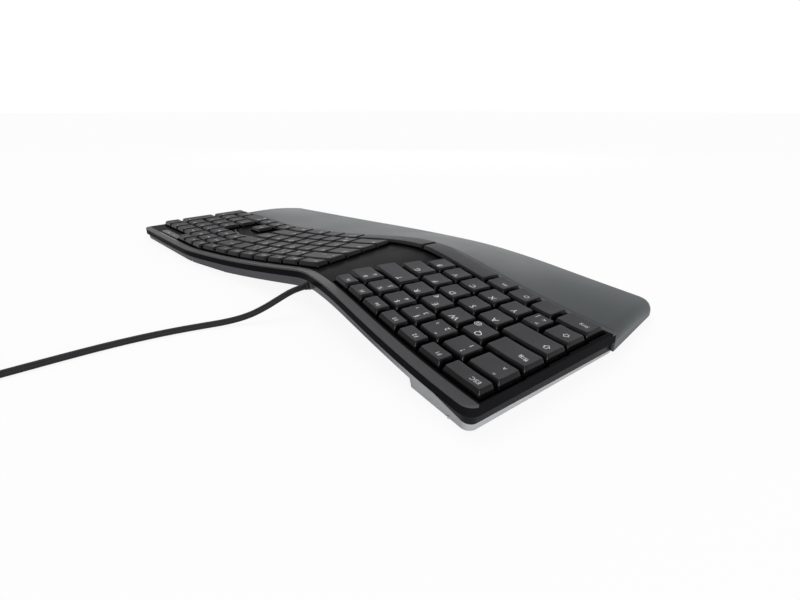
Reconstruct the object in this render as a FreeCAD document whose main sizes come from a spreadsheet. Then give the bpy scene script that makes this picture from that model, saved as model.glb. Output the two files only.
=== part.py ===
"""Wired ergonomic keyboard: two key fields that fall away from a central crest, a numeric
block on the right, a padded palm rest in front and a cable from the rear notch.

Millimetres. +X is the typist's right, +Y the cable side, +Z up, and Z = 0 is the desk.
The origin is the middle of the base. Heights are taken from one wave, the surface of the
key tops, which is highest at the crest and levels out towards both ends. A level is a
distance straight down from that wave.
"""
import FreeCAD, Part
import math
import os
import Sketcher
from FreeCAD import Placement, Rotation, Vector

os.makedirs("parts", exist_ok=True)
doc = FreeCAD.newDocument("ergonomic_keyboard")

# Driving sizes: alias, value, what it sets
SIZES = (
    ("crest_height", 34.0, "key tops above the desk at the crest"),
    ("crest_place", -88.0, "X of the crest"),
    ("wave_drop", 17.5, "how far the key tops fall from the crest to the ends"),
    ("wave_reach", 110.0, "distance over which most of the fall happens"),
    ("wave_power", 1.7, "roundness of the crest"),
    ("left_end", -238.5, "X of the left end where the palm rest starts"),
    ("right_end", 238.4, "X of the right end"),
    ("left_row_x", -195.8, "X of the first digit key of the left field"),
    ("left_row_y", 81.7, "Y of the first digit key of the left field"),
    ("left_row_angle", 7.8, "degrees by which the left rows run down to the right"),
    ("left_row_bend", 4.7, "further degrees for each 100 mm along a left row"),
    ("right_row_x", -23.9, "X of the reference key of the right field"),
    ("right_row_y", 56.5, "Y of the reference key of the right field"),
    ("right_row_angle", 8.5, "degrees by which the right rows run up to the right"),
    ("block_column_x", 226.9, "X of the rightmost column of the numeric block"),
    ("block_row_y", 77.3, "Y of the digit row in the numeric block"),
    ("key_pitch", 19.05, "centre distance of keys and rows"),
    ("key_gap", 1.0, "air between two caps at their skirts"),
    ("function_step", 15.7, "from the digit row to the function row"),
    ("function_depth", 13.6, "room of a function key, front to back"),
    ("cap_skirt", 5.0, "height of a cap"),
    ("cap_side_draw", 1.75, "how far a cap's sides lean in"),
    ("cap_end_draw", 2.0, "how far a cap's front and back lean in"),
    ("cap_corner", 0.9, "how far a cap's corners are cut off"),
    ("cap_wall", 1.2, "wall of a cap"),
    ("stem_width", 4.6, "square stem under a cap"),
    ("stem_play", 0.4, "air between a stem and its guide"),
    ("travel", 2.4, "stroke of a key"),
    ("cap_clearance", 0.8, "air under a pressed cap"),
    ("stem_clearance", 0.3, "air under the foot of a pressed stem"),
    ("rim_level", 4.3, "level of the case rim"),
    ("deck_thickness", 1.5, "plate that guides the stems"),
    ("joint_step", 0.8, "case wall below that plate, down to the joint between the halves"),
    ("joint_gap", 0.1, "air in that joint"),
    ("strip_depth", 1.5, "recess that holds a trim strip"),
    ("strip_gap", 0.1, "air around a trim strip"),
    ("well_margin", 0.6, "air between the caps and the edge of their well"),
    ("well_end_margin", 1.1, "air beside the end caps of a row, which lean on the slopes"),
    ("rear_margin", 29.5, "from the digit row to the rear edge of the case"),
    ("rear_strip_margin", 23.6, "from the digit row to the inner edge of the rear strip"),
    ("front_strip_margin", 87.2, "from the digit row to the front strip"),
    ("front_margin", 91.5, "from the digit row to the palm rest"),
    ("left_margin", 34.8, "from the first digit key to the left wall"),
    ("case_wall", 2.2, "wall of both housing halves"),
    ("floor_thickness", 4.5, "floor of the bottom shell over the arch"),
    ("shell_inset", 0.7, "bottom shell inside the case outline at its top"),
    ("shell_draw", 2.4, "bottom shell inside the case outline at the desk"),
    ("notch_draw", 6.0, "further lean of the shell under the rear notch"),
    ("shell_reach", 26.0, "height over which the bottom shell leans"),
    ("foot_gap", 0.8, "foot blocks above the desk"),
    ("arch_left", -181.0, "X of the left foot block's inner face"),
    ("arch_right", 59.0, "X of the right foot block's inner face"),
    ("arch_slope", 5.0, "run of those inner faces"),
    ("arch_front", -88.0, "Y where the arch meets the desk"),
    ("arch_back", -22.0, "Y behind which the arch has its full height"),
    ("sheet_inset", 6.5, "from the case's edge to the sheets inside"),
    ("collar_clearance", 0.9, "air between the mat's collars and the plate above them"),
    ("mat_thickness", 0.5, "rubber mat"),
    ("collar_width", 8.0, "outside of the mat's collar around a stem"),
    ("collar_bore", 5.8, "inside of that collar"),
    ("collar_height", 2.2, "height of that collar"),
    ("membrane_thickness", 0.3, "circuit membrane"),
    ("plate_thickness", 0.7, "steel back plate"),
    ("stack_gap", 0.05, "air between the sheets"),
    ("palm_gap", 0.5, "slit between the case and the palm rest"),
    ("palm_lip", 2.4, "top of the bottom shell's edge under the palm rest"),
    ("palm_rear_level", 4.5, "level of the palm rest at its rear edge"),
    ("palm_front_height", 11.0, "palm rest above the desk at its front edge"),
    ("palm_crown", 2.4, "bulge of the palm rest between its edges"),
    ("pad_edge", 6.0, "rounding of the pad's front and ends"),
    ("pad_thickness", 7.0, "foam over the rigid base of the palm rest"),
    ("pad_side", 3.0, "foam around the rigid base of the palm rest"),
    ("pad_gap", 0.3, "air between the foam and what carries it"),
    ("front_bulge", 123.4, "distance of the front edge's apex from the origin"),
    ("front_corner_y", -84.0, "Y of the front corners"),
    ("corner_radius", 7.0, "rear corners of the case"),
    ("front_radius", 14.0, "front corners of the palm rest"),
    ("screw_head", 1.4, "radius of a screw head"),
    ("screw_head_height", 1.2, "height of a screw head"),
    ("screw_shank", 0.9, "radius of a screw"),
    ("screw_play", 0.1, "air around a screw"),
    ("screw_grip", 3.0, "how far a screw reaches into the top case"),
    ("boss_radius", 2.0, "radius of a screw boss"),
    ("foot_length", 24.0, "rubber foot, left to right"),
    ("foot_width", 9.0, "rubber foot, front to back"),
    ("foot_thickness", 1.3, "rubber foot"),
    ("foot_play", 0.2, "air around a rubber foot"),
    ("board_length", 38.0, "controller board, left to right"),
    ("board_width", 14.0, "controller board, front to back"),
    ("board_thickness", 1.0, "controller board"),
    ("board_x", -88.0, "X of the controller board"),
    ("board_y", 40.0, "Y of the controller board"),
    ("board_bed", 1.6, "floor under the controller board"),
    ("board_play", 0.5, "air around the controller board"),
    ("window_length", 46.0, "indicator window"),
    ("window_width", 7.0, "indicator window"),
    ("window_x", 186.0, "X of the indicator window"),
    ("window_step", 17.6, "from the digit row to the middle of the indicator window"),
    ("gland_x", -57.0, "X of the cable gland"),
    ("gland_height", 17.9, "cable above the desk where it leaves the case"),
    ("gland_radius", 2.9, "barrel of the gland"),
    ("gland_play", 0.1, "air around the gland in its hole"),
    ("gland_inside", 2.6, "length of the gland inside the case"),
    ("gland_outside", 6.0, "length of the gland outside the case"),
    ("gland_tip", 2.5, "radius of the gland at its tip"),
    ("cable_radius", 2.15, "radius of the cable"),
    ("coil_radius", 23.5, "radius at the middle of the coiled turns"),
    ("coil_pitch", 4.9, "from one turn to the next, across and up"),
    ("coil_turns", 5, "turns in each of the coil's two layers"),
    ("coil_start_x", -21.0, "X where the cable runs into the coil"),
    ("coil_y", 300.0, "Y of the coil's middle"),
    ("tie_width", 8.0, "tie around the coil"),
    ("tie_thickness", 0.6, "tie around the coil"),
    ("tie_play", 0.3, "air between the tie and the coil"),
    ("plug_length", 22.0, "moulded grip of the plug"),
    ("plug_width", 15.0, "moulded grip of the plug"),
    ("plug_height", 8.0, "moulded grip of the plug"),
    ("plug_corner", 2.0, "corner radius of the grip"),
    ("contact_length", 12.5, "metal shell of the plug outside the grip"),
    ("contact_width", 12.0, "metal shell of the plug"),
    ("contact_height", 4.5, "metal shell of the plug"),
    ("contact_wall", 0.4, "sheet of the plug's metal shell"),
)

sheet = doc.addObject("Spreadsheet::Sheet", "sizes")
for line, (alias, value, note) in enumerate(SIZES, start=1):
    sheet.set(f"A{line}", note)
    sheet.set(f"B{line}", str(value))
    sheet.setAlias(f"B{line}", alias)
doc.recompute()


def size(alias):
    """A driving size from the sheet, in millimetres or degrees."""
    return float(sheet.get(alias))


# Levels that follow from the stack of pieces under the key tops
DECK_LEVEL = size("cap_skirt") + size("travel") + size("cap_clearance")
GUIDE_LEVEL = DECK_LEVEL + size("deck_thickness")
JOINT_LEVEL = GUIDE_LEVEL + size("joint_step")
MAT_LEVEL = GUIDE_LEVEL + size("collar_clearance") + size("collar_height")
STEM_LENGTH = MAT_LEVEL - size("travel") - size("stem_clearance")
MEMBRANE_LEVEL = MAT_LEVEL + size("mat_thickness") + size("stack_gap")
PLATE_LEVEL = MEMBRANE_LEVEL + size("membrane_thickness") + size("stack_gap")
FLOOR_LEVEL = PLATE_LEVEL + size("plate_thickness") + 2.0 * size("stack_gap")
ARCH_LEVEL = FLOOR_LEVEL + size("floor_thickness")

# The wave of the key tops
WAVE_MARGIN = 25.0
WAVE_STEPS = 16
REACH_Y = 140.0
GROUND = -5.0
SKY = 60.0


def crown(x):
    """Height of the key tops above the desk at x."""
    reach = abs(x - size("crest_place")) / size("wave_reach")
    fall = 1.0 - math.exp(-(reach ** size("wave_power")))
    return size("crest_height") - size("wave_drop") * fall


def crown_slope(x):
    """Rise of the key tops per millimetre at x."""
    step = 0.5
    return (crown(x + step) - crown(x - step)) / (2.0 * step)


def wave_curve(level):
    """Curve at a level of the wave, from end to end, along the front of the model."""
    start = size("left_end") - WAVE_MARGIN
    span = size("right_end") + WAVE_MARGIN - start
    stations = [start + span * step / WAVE_STEPS for step in range(WAVE_STEPS + 1)]
    curve = Part.BSplineCurve()
    curve.interpolate([Vector(x, -REACH_Y, crown(x) - level) for x in stations])
    return curve.toShape()


def wave_band(upper_level, lower_level):
    """Solid between two levels of the wave, wider than the keyboard."""
    top = wave_curve(upper_level)
    bottom = wave_curve(lower_level)
    left = Part.makeLine(bottom.firstVertex().Point, top.firstVertex().Point)
    right = Part.makeLine(top.lastVertex().Point, bottom.lastVertex().Point)
    face = Part.Face(Part.Wire([left, top, right, bottom]))
    return face.extrude(Vector(0, 2.0 * REACH_Y, 0))


# Key fields: a place along a row and a distance behind the digit row give a point and an angle
def left_point(along, behind):
    base = -size("left_row_angle")
    turn = -size("left_row_bend") * along / 100.0
    middle = math.radians(base + turn / 2.0)
    angle = math.radians(base + turn)
    x = size("left_row_x") + along * math.cos(middle) - behind * math.sin(angle)
    y = size("left_row_y") + along * math.sin(middle) + behind * math.cos(angle)
    return x, y, angle


def right_point(along, behind):
    angle = math.radians(size("right_row_angle"))
    x = size("right_row_x") + along * math.cos(angle) - behind * math.sin(angle)
    y = size("right_row_y") + along * math.sin(angle) + behind * math.cos(angle)
    return x, y, angle


def block_point(along, behind):
    return size("block_column_x") + along, size("block_row_y") + behind, 0.0


def right_field_end(behind):
    """Place along a right row where the navigation columns begin."""
    angle = math.radians(size("right_row_angle"))
    edge = size("block_column_x") - NAVIGATION_COLUMNS * size("key_pitch")
    return (edge - size("right_row_x") + behind * math.sin(angle)) / math.cos(angle)


NAVIGATION_COLUMNS = 6.5
FIELDS = {"left": left_point, "right": right_point, "block": block_point}


# Plan outlines: corners with a radius, joined by straight runs and arcs
def rounded_wire(corners, z=0.0):
    """Closed wire through corners (x, y, radius), each rounded by its radius."""
    count = len(corners)
    cuts = []
    for index, (x, y, radius) in enumerate(corners):
        here = Vector(x, y, z)
        following = corners[(index + 1) % count]
        back = Vector(corners[index - 1][0], corners[index - 1][1], z) - here
        ahead = Vector(following[0], following[1], z) - here
        back.normalize()
        ahead.normalize()
        half = back.getAngle(ahead) / 2.0
        reach = radius / math.tan(half)
        middle = back + ahead
        if middle.Length > 0.0:
            middle.normalize()
        depth = radius / math.sin(half) - radius
        cuts.append((here + back * reach, here + middle * depth, here + ahead * reach))
    edges = []
    for index, (start, middle, end) in enumerate(cuts):
        following = cuts[(index + 1) % count][0]
        if (start - end).Length > 1e-6:
            edges.append(Part.Arc(start, middle, end).toShape())
        if (following - end).Length > 1e-6:
            edges.append(Part.makeLine(end, following))
    return Part.Wire(edges)


def inset(corners, distance):
    """Corners of the outline that runs a distance inside an anticlockwise one."""
    count = len(corners)
    moved = []
    for index, (x, y, radius) in enumerate(corners):
        following = corners[(index + 1) % count]
        arrive = Vector(x - corners[index - 1][0], y - corners[index - 1][1], 0)
        leave = Vector(following[0] - x, following[1] - y, 0)
        arrive.normalize()
        leave.normalize()
        side_in = Vector(-arrive.y, arrive.x, 0)
        side_out = Vector(-leave.y, leave.x, 0)
        shift = (side_in + side_out) * (distance / (1.0 + side_in.dot(side_out)))
        bends_left = arrive.x * leave.y - arrive.y * leave.x > 0.0
        new_radius = radius - distance if bends_left else radius + distance
        if radius == 0.0:
            new_radius = 0.0
        moved.append((x + shift.x, y + shift.y, max(new_radius, 0.0)))
    return moved


def leaning_block(low_corners, low_z, high_corners, high_z):
    """Solid between two outlines with the same runs and arcs."""
    low = rounded_wire(low_corners, low_z)
    high = rounded_wire(high_corners, high_z)
    walls = [Part.makeRuledSurface(*pair) for pair in zip(low.OrderedEdges, high.OrderedEdges)]
    shell = Part.makeShell(walls + [Part.Face(low), Part.Face(high)])
    shell.sewShape()
    solid = Part.makeSolid(shell)
    return solid if solid.Volume > 0.0 else solid.reversed()


def prism(corners, low=GROUND, high=SKY):
    return Part.Face(rounded_wire(corners, low)).extrude(Vector(0, 0, high - low))


def slab(corners, upper_level, lower_level):
    """Plate that follows the wave between two levels inside an outline."""
    return prism(corners).common(wave_band(upper_level, lower_level))


def line_meeting(first, second):
    """Where two lines cross, each given as x, y and angle."""
    slope1 = math.tan(first[2])
    slope2 = math.tan(second[2])
    x = (second[1] - first[1] + slope1 * first[0] - slope2 * second[0]) / (slope1 - slope2)
    return x, first[1] + slope1 * (x - first[0])


# Corner lists run anticlockwise seen from above
LEFT_ROW_REACH = 120.0
BEND_SHARE = 0.88
NOTCH_RADIUS = 60.0
PALM_TURN_RADIUS = 70.0
BLOCK_BEND_RADIUS = 150.0


def left_bend_radius(behind):
    """Radius of a rounding that follows the bent left rows."""
    return BEND_SHARE * (100.0 / math.radians(size("left_row_bend")) + behind)


def row_line(behind, turn_radius):
    """A line parallel to all rows, from the left end to the right end."""
    start = left_point(-size("left_margin"), behind)
    near = left_point(LEFT_ROW_REACH, behind)
    right = right_point(0.0, behind)
    level = block_point(0.0, behind)
    bend = line_meeting(start, near)
    notch = line_meeting(near, right)
    block = line_meeting(right, level)
    return [
        (start[0], start[1], 0.0),
        (bend[0], bend[1], left_bend_radius(behind)),
        (notch[0], notch[1], turn_radius),
        (block[0], block[1], BLOCK_BEND_RADIUS),
        (size("right_end"), level[1], 0.0),
    ]


def palm_line():
    line = row_line(-size("front_margin"), PALM_TURN_RADIUS)
    line[0] = (size("left_end"), line[0][1], 0.0)
    return line


def rear_corners():
    line = row_line(size("rear_margin"), NOTCH_RADIUS)
    radius = size("corner_radius")
    line[0] = (line[0][0], line[0][1], radius)
    line[-1] = (line[-1][0], line[-1][1], radius)
    return list(reversed(line))


FRONT_APEX_X = -45.0
FRONT_APEX_RADIUS = 600.0
FRONT_LEFT_DRAW = 5.5
FRONT_RIGHT_DRAW = 20.0


def front_corners():
    radius = size("front_radius")
    corner_y = size("front_corner_y")
    return [
        (size("left_end") + FRONT_LEFT_DRAW, corner_y, radius),
        (FRONT_APEX_X, -size("front_bulge"), FRONT_APEX_RADIUS),
        (size("right_end") - FRONT_RIGHT_DRAW, corner_y, radius),
    ]


def case_corners():
    return palm_line() + rear_corners()


def palm_corners():
    gap = size("palm_gap")
    return [(x, y - gap, radius) for x, y, radius in reversed(palm_line())] + front_corners()


def whole_corners():
    line = palm_line()
    return front_corners() + [line[-1]] + rear_corners() + [line[0]]


def palm_line_y(x):
    """Y of the line between case and palm rest at x."""
    line = palm_line()
    for start, end in zip(line, line[1:]):
        if x <= end[0]:
            break
    return start[1] + (end[1] - start[1]) * (x - start[0]) / (end[0] - start[0])


def front_line_y(x):
    """Y of the front edge at x."""
    left, apex, right = front_corners()
    start, end = (left, apex) if x < apex[0] else (apex, right)
    return start[1] + (end[1] - start[1]) * (x - start[0]) / (end[0] - start[0])


# Keys: field, row, start along the row, then names and widths in pitches. A width of None
# runs to the end of the right field
FUNCTION = -1
SPACE_LEFT_START = 57.0
SPACE_LEFT_END = 138.0
SPACE_RIGHT_END = 19.0
ROWS = (
    ("left", FUNCTION, -33.2, (("escape", 1.4), ("f1", 0.97), ("f2", 0.97), ("f3", 0.97),
                               ("f4", 0.97), ("f5", 0.97), ("f6", 0.97))),
    ("left", 0, -33.2, (("caret", 1.25), ("digit_1", 1.0), ("digit_2", 1.0), ("digit_3", 1.0),
                        ("digit_4", 1.0), ("digit_5", 1.0), ("digit_6", 1.25))),
    ("left", 1, -32.5, (("tab", 1.55), ("letter_q", 1.0), ("letter_w", 1.0), ("letter_e", 1.0),
                        ("letter_r", 1.0), ("letter_t", 1.9))),
    ("left", 2, -31.5, (("caps_lock", 1.86), ("letter_a", 1.0), ("letter_s", 1.0),
                        ("letter_d", 1.0), ("letter_f", 1.0), ("letter_g", 1.33))),
    ("left", 3, -30.5, (("shift_left", 1.08), ("angle_bracket", 0.85), ("letter_y", 1.0),
                        ("letter_x", 1.0), ("letter_c", 1.0), ("letter_v", 1.0),
                        ("letter_b", 1.0))),
    ("left", 4, -29.5, (("control_left", 1.36), ("extra_left", 1.06), ("system_left", 1.06),
                        ("alt_left", 1.06))),
    ("right", FUNCTION, -28.0, (("f7", 1.26), ("f8", 1.0), ("f9", 1.0), ("f10", 1.0),
                                ("f11", 1.0), ("f12", 1.0), ("media_1", 1.0),
                                ("media_2", None))),
    ("right", 0, -28.0, (("digit_7", 1.97), ("digit_8", 1.0), ("digit_9", 1.0),
                         ("digit_0", 1.0), ("sharp_s", 1.0), ("accent", 1.0),
                         ("backspace", None))),
    ("right", 1, -27.0, (("letter_z", 1.4), ("letter_u", 1.0), ("letter_i", 1.0),
                         ("letter_o", 1.0), ("letter_p", 1.0), ("letter_ue", 1.0),
                         ("plus", None))),
    ("right", 2, -26.0, (("letter_h", 1.62), ("letter_j", 1.0), ("letter_k", 1.0),
                         ("letter_l", 1.0), ("letter_oe", 1.0), ("letter_ae", 1.0),
                         ("enter", None))),
    ("right", 3, -25.0, (("letter_n", 1.82), ("letter_m", 1.0), ("comma", 1.0),
                         ("period", 1.0), ("hyphen", 1.0), ("shift_right", None))),
    ("right", 4, SPACE_RIGHT_END, (("alt_right", 1.35), ("extra_right", 1.08),
                                   ("menu", 1.34), ("control_right", None))),
)
# Block keys: name, column counted from the right, top row, width and depth in pitches
BLOCK_KEYS = (
    ("media_3", 6, FUNCTION, 1, 1), ("media_4", 5, FUNCTION, 1, 1), ("media_5", 4, FUNCTION, 1, 1),
    ("insert", 6, 0, 1, 1), ("home", 5, 0, 1, 1), ("page_up", 4, 0, 1, 1),
    ("num_lock", 3, 0, 1, 1), ("num_divide", 2, 0, 1, 1), ("num_times", 1, 0, 1, 1),
    ("num_minus", 0, 0, 1, 1), ("delete", 6, 1, 1, 1), ("end", 5, 1, 1, 1),
    ("page_down", 4, 1, 1, 1), ("num_7", 3, 1, 1, 1), ("num_8", 2, 1, 1, 1),
    ("num_9", 1, 1, 1, 1), ("num_plus", 0, 1, 1, 2), ("num_4", 3, 2, 1, 1),
    ("num_5", 2, 2, 1, 1), ("num_6", 1, 2, 1, 1), ("arrow_up", 5, 3, 1, 1),
    ("num_1", 3, 3, 1, 1), ("num_2", 2, 3, 1, 1), ("num_3", 1, 3, 1, 1),
    ("num_enter", 0, 3, 1, 2), ("arrow_left", 6, 4, 1, 1), ("arrow_down", 5, 4, 1, 1),
    ("arrow_right", 4, 4, 1, 1), ("num_0", 3, 4, 2, 1), ("num_point", 1, 4, 1, 1),
)
# Keys that share a node; every other key has its own
GROUPS = {
    "function_keys_left": ("f1", "f2", "f3", "f4", "f5", "f6"),
    "digit_keys_left": ("caret", "digit_1", "digit_2", "digit_3", "digit_4", "digit_5"),
    "upper_letters_left": ("letter_q", "letter_w", "letter_e", "letter_r"),
    "home_letters_left": ("letter_a", "letter_s", "letter_d", "letter_f"),
    "lower_letters_left": ("angle_bracket", "letter_y", "letter_x", "letter_c", "letter_v",
                           "letter_b"),
    "modifier_keys_left": ("extra_left", "system_left", "alt_left"),
    "function_keys_right": ("f7", "f8", "f9", "f10", "f11", "f12"),
    "media_keys": ("media_1", "media_2", "media_3", "media_4", "media_5"),
    "digit_keys_right": ("digit_8", "digit_9", "digit_0", "sharp_s", "accent"),
    "upper_letters_right": ("letter_u", "letter_i", "letter_o", "letter_p", "letter_ue"),
    "home_letters_right": ("letter_j", "letter_k", "letter_l", "letter_oe", "letter_ae"),
    "lower_letters_right": ("letter_m", "comma", "period", "hyphen"),
    "modifier_keys_right": ("alt_right", "extra_right", "menu"),
    "navigation_keys": ("insert", "home", "page_up", "delete", "end", "page_down"),
    "arrow_row": ("arrow_left", "arrow_down", "arrow_right"),
    "number_block_top": ("num_lock", "num_divide", "num_times", "num_minus"),
    "number_block_keys": ("num_7", "num_8", "num_9", "num_4", "num_5", "num_6", "num_1",
                          "num_2", "num_3", "num_point"),
}


def row_room(row):
    """Middle of a row behind the digit row, and its depth."""
    if row == FUNCTION:
        return size("function_step"), size("function_depth")
    return -row * size("key_pitch"), size("key_pitch")


def key_cells():
    """Every key but the space bars: name -> field, starts, ends, middle behind and depth.

    Starts and ends are places along the row at the front and at the rear of the cell.
    """
    pitch = size("key_pitch")
    cells = {}
    for field, row, along, keys in ROWS:
        behind, depth = row_room(row)
        for name, width in keys:
            if width is None:
                ends = (right_field_end(behind - depth / 2.0), right_field_end(behind + depth / 2.0))
            else:
                ends = (along + width * pitch, along + width * pitch)
            cells[name] = (field, (along, along), ends, behind, depth)
            along = ends[0]
    for name, column, row, wide, deep in BLOCK_KEYS:
        start = -(column + 0.5) * pitch
        end = start + wide * pitch
        behind, depth = row_room(row)
        middle = behind - (deep - 1) * pitch / 2.0
        cells[name] = ("block", (start, start), (end, end), middle, depth + (deep - 1) * pitch)
    return cells


CELLS = key_cells()


def cell_corners(cell, side_draw, end_draw):
    """Plan corners of a cell, drawn in at its sides and at its front and rear."""
    field, starts, ends, behind, depth = cell
    low = behind - depth / 2.0 + end_draw
    high = behind + depth / 2.0 - end_draw
    places = (
        (starts[0] + side_draw, low),
        (ends[0] - side_draw, low),
        (ends[1] - side_draw, high),
        (starts[1] + side_draw, high),
    )
    return [FIELDS[field](along, across)[:2] for along, across in places]


def cell_centre(cell, share=0.5):
    """Plan point and row angle at a share of a cell's width."""
    field, starts, ends, behind, _ = cell
    start = (starts[0] + starts[1]) / 2.0
    end = (ends[0] + ends[1]) / 2.0
    return FIELDS[field](start + (end - start) * share, behind)


def key_placement(x, y, angle):
    """Frame on the wave: X along the row, Z square to the key tops."""
    slope = crown_slope(x)
    normal = Vector(-slope, 0, 1)
    along = Vector(math.cos(angle), math.sin(angle), slope * math.cos(angle))
    across = normal.cross(along)
    return Placement(Vector(x, y, crown(x)), Rotation(along, across, normal, "ZXY"))


def local_corners(corners, x, y, angle, cut):
    """Plan corners seen from a point that is turned by an angle."""
    turned = []
    for corner_x, corner_y in corners:
        dx = corner_x - x
        dy = corner_y - y
        right = dx * math.cos(angle) + dy * math.sin(angle)
        rear = dy * math.cos(angle) - dx * math.sin(angle)
        turned.append((right, rear, cut))
    return turned


def bevelled_wire(corners, z):
    """Closed wire through corners (x, y, cut), each cut off straight."""
    points = []
    for index, (x, y, cut) in enumerate(corners):
        here = Vector(x, y, z)
        following = corners[(index + 1) % len(corners)]
        for other in (corners[index - 1], following):
            side = Vector(other[0] - x, other[1] - y, 0)
            side.normalize()
            points.append(here + side * cut)
        if cut == 0.0:
            points.pop()
    return Part.makePolygon(points + points[:1])


def frustum(low_corners, low_z, high_corners, high_z):
    wires = [bevelled_wire(low_corners, low_z), bevelled_wire(high_corners, high_z)]
    return Part.makeLoft(wires, True, True)


def square_post(width, low, high):
    return Part.makeBox(width, width, high - low, Vector(-width / 2.0, -width / 2.0, low))


def stem_post():
    return square_post(size("stem_width"), -STEM_LENGTH, -size("cap_wall") / 2.0)


def key_cap(cell):
    """Hollow cap with leaning sides on a square stem."""
    x, y, angle = cell_centre(cell)
    half_gap = size("key_gap") / 2.0
    wall = size("cap_wall")
    skirt = size("cap_skirt")
    side = half_gap + size("cap_side_draw")
    end = half_gap + size("cap_end_draw")

    def ring(side_draw, end_draw, cut):
        return local_corners(cell_corners(cell, side_draw, end_draw), x, y, angle, cut)

    outside = frustum(ring(half_gap, half_gap, size("cap_corner")), -skirt,
                      ring(side, end, size("cap_corner")), 0.0)
    inside = frustum(ring(half_gap + wall, half_gap + wall, 0.0), -skirt,
                     ring(side + wall, end + wall, 0.0), -wall)
    cap = outside.cut(inside).fuse(stem_post())
    cap.Placement = key_placement(x, y, angle)
    return cap


# Space bars: long caps that follow the wave, and the right one bends with the rows
BAR_STEM_SHARES = (0.18, 0.5, 0.82)
BAR_BEND_X = -38.0
BAR_BEND_SAG = 4.5


def right_bar_rails(grows, shifts=(0.0, 0.0)):
    """Rear and front rail of the right space bar, each as start, middle and end.

    Each of the three places has its own growth, and the two ends may be shifted along the row.
    """
    behind, depth = row_room(4)
    rails = []
    for side in (1.0, -1.0):
        starts, middles, ends = [behind + side * (depth / 2.0 + grow) for grow in grows]
        start = left_point(SPACE_LEFT_END - grows[0] + shifts[0], starts)
        end = right_point(SPACE_RIGHT_END + grows[2] + shifts[1], ends)
        left = left_point(SPACE_LEFT_END, middles)
        right = right_point(SPACE_RIGHT_END, middles)
        share = (BAR_BEND_X - left[0]) / (right[0] - left[0])
        middle_y = left[1] + (right[1] - left[1]) * share - BAR_BEND_SAG
        middle = Vector(BAR_BEND_X, middle_y, 0)
        rails.append((Vector(start[0], start[1], 0), middle, Vector(end[0], end[1], 0)))
    return rails


def left_bar_rails(grows, shifts=(0.0, 0.0)):
    """Rear and front rail of the left space bar, as for the right one."""
    behind, depth = row_room(4)
    places = (
        SPACE_LEFT_START - grows[0] + shifts[0],
        (SPACE_LEFT_START + SPACE_LEFT_END) / 2.0,
        SPACE_LEFT_END + grows[2] + shifts[1],
    )
    rails = []
    for side in (1.0, -1.0):
        rail = []
        for along, grow in zip(places, grows):
            x, y, _ = left_point(along, behind + side * (depth / 2.0 + grow))
            rail.append(Vector(x, y, 0))
        rails.append(rail)
    return rails


def rail_wire(rails, z):
    """Closed wire between two bent rails."""
    lift = Vector(0, 0, z)
    rear, front = [[point + lift for point in rail] for rail in rails]
    return Part.Wire([
        Part.Arc(front[0], front[1], front[2]).toShape(),
        Part.makeLine(front[2], rear[2]),
        Part.Arc(rear[2], rear[1], rear[0]).toShape(),
        Part.makeLine(rear[0], front[0]),
    ])


BARS = {"space_bar_left": left_bar_rails, "space_bar_right": right_bar_rails}
BAR_REACH_DOWN = 10.0
BAR_REACH_UP = 4.0


def evenly(grow):
    return (grow, grow, grow)


def bar_block(rails, extra):
    """Block through the wave over a bar's outline, drawn in by extra.

    Its sides lean in and its ends stand square to the wave, as the caps beside it do.
    """
    stations = [point.x for point in rails(evenly(0.0))[0]]
    middle = crown(stations[1])
    lean = (size("cap_side_draw") + size("cap_end_draw")) / 2.0 / size("cap_skirt")
    edge = -size("key_gap") / 2.0 - extra
    wires = []
    for z in (middle - BAR_REACH_DOWN, middle + BAR_REACH_UP):
        levels = [crown(x) - z for x in stations]
        grows = [edge + lean * (level - size("cap_skirt")) for level in levels]
        shifts = [crown_slope(x) * level for x, level in zip(stations[::2], levels[::2])]
        wires.append(rail_wire(rails(grows, shifts), z))
    return Part.makeLoft(wires, True, True)


def bar_points(rails):
    """Plan points and row angle of a bar's stems."""
    rear, front = rails(evenly(0.0))
    points = []
    for share in BAR_STEM_SHARES:
        rear_point = arc_point(rear, share)
        front_point = arc_point(front, share)
        run = front[2] - front[0]
        middle = (rear_point + front_point) * 0.5
        points.append((middle.x, middle.y, math.atan2(run.y, run.x)))
    return points


def arc_point(rail, share):
    """Point at a share of an arc through three points."""
    arc = Part.Arc(rail[0], rail[1], rail[2])
    return arc.value(arc.FirstParameter + (arc.LastParameter - arc.FirstParameter) * share)


def space_bar(rails):
    wall = size("cap_wall")
    outside = bar_block(rails, 0.0).common(wave_band(0.0, size("cap_skirt")))
    inside = bar_block(rails, wall).common(wave_band(wall, size("cap_skirt") + 1.0))
    bar = outside.cut(inside)
    for x, y, angle in bar_points(rails):
        stem = stem_post()
        stem.Placement = key_placement(x, y, angle)
        bar = bar.fuse(stem)
    return bar


def stem_frames():
    """Placement of every stem."""
    frames = [key_placement(*cell_centre(cell)) for cell in CELLS.values()]
    for rails in BARS.values():
        frames += [key_placement(*point) for point in bar_points(rails)]
    return frames


STEM_FRAMES = stem_frames()


# Housing
def well_prism():
    """Room of all key wells, seen from above, from the ground to the sky."""
    grow = size("well_margin") - size("key_gap") / 2.0
    end_grow = size("well_end_margin") - size("key_gap") / 2.0
    patches = []
    for cell in CELLS.values():
        corners = [(x, y, 0.0) for x, y in cell_corners(cell, -end_grow, -grow)]
        patches.append(prism(corners))
    for rails in BARS.values():
        wire = rail_wire(rails(evenly(grow)), GROUND)
        patches.append(Part.Face(wire).extrude(Vector(0, 0, SKY - GROUND)))
    return patches[0].fuse(patches[1:]).removeSplitter()


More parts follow.
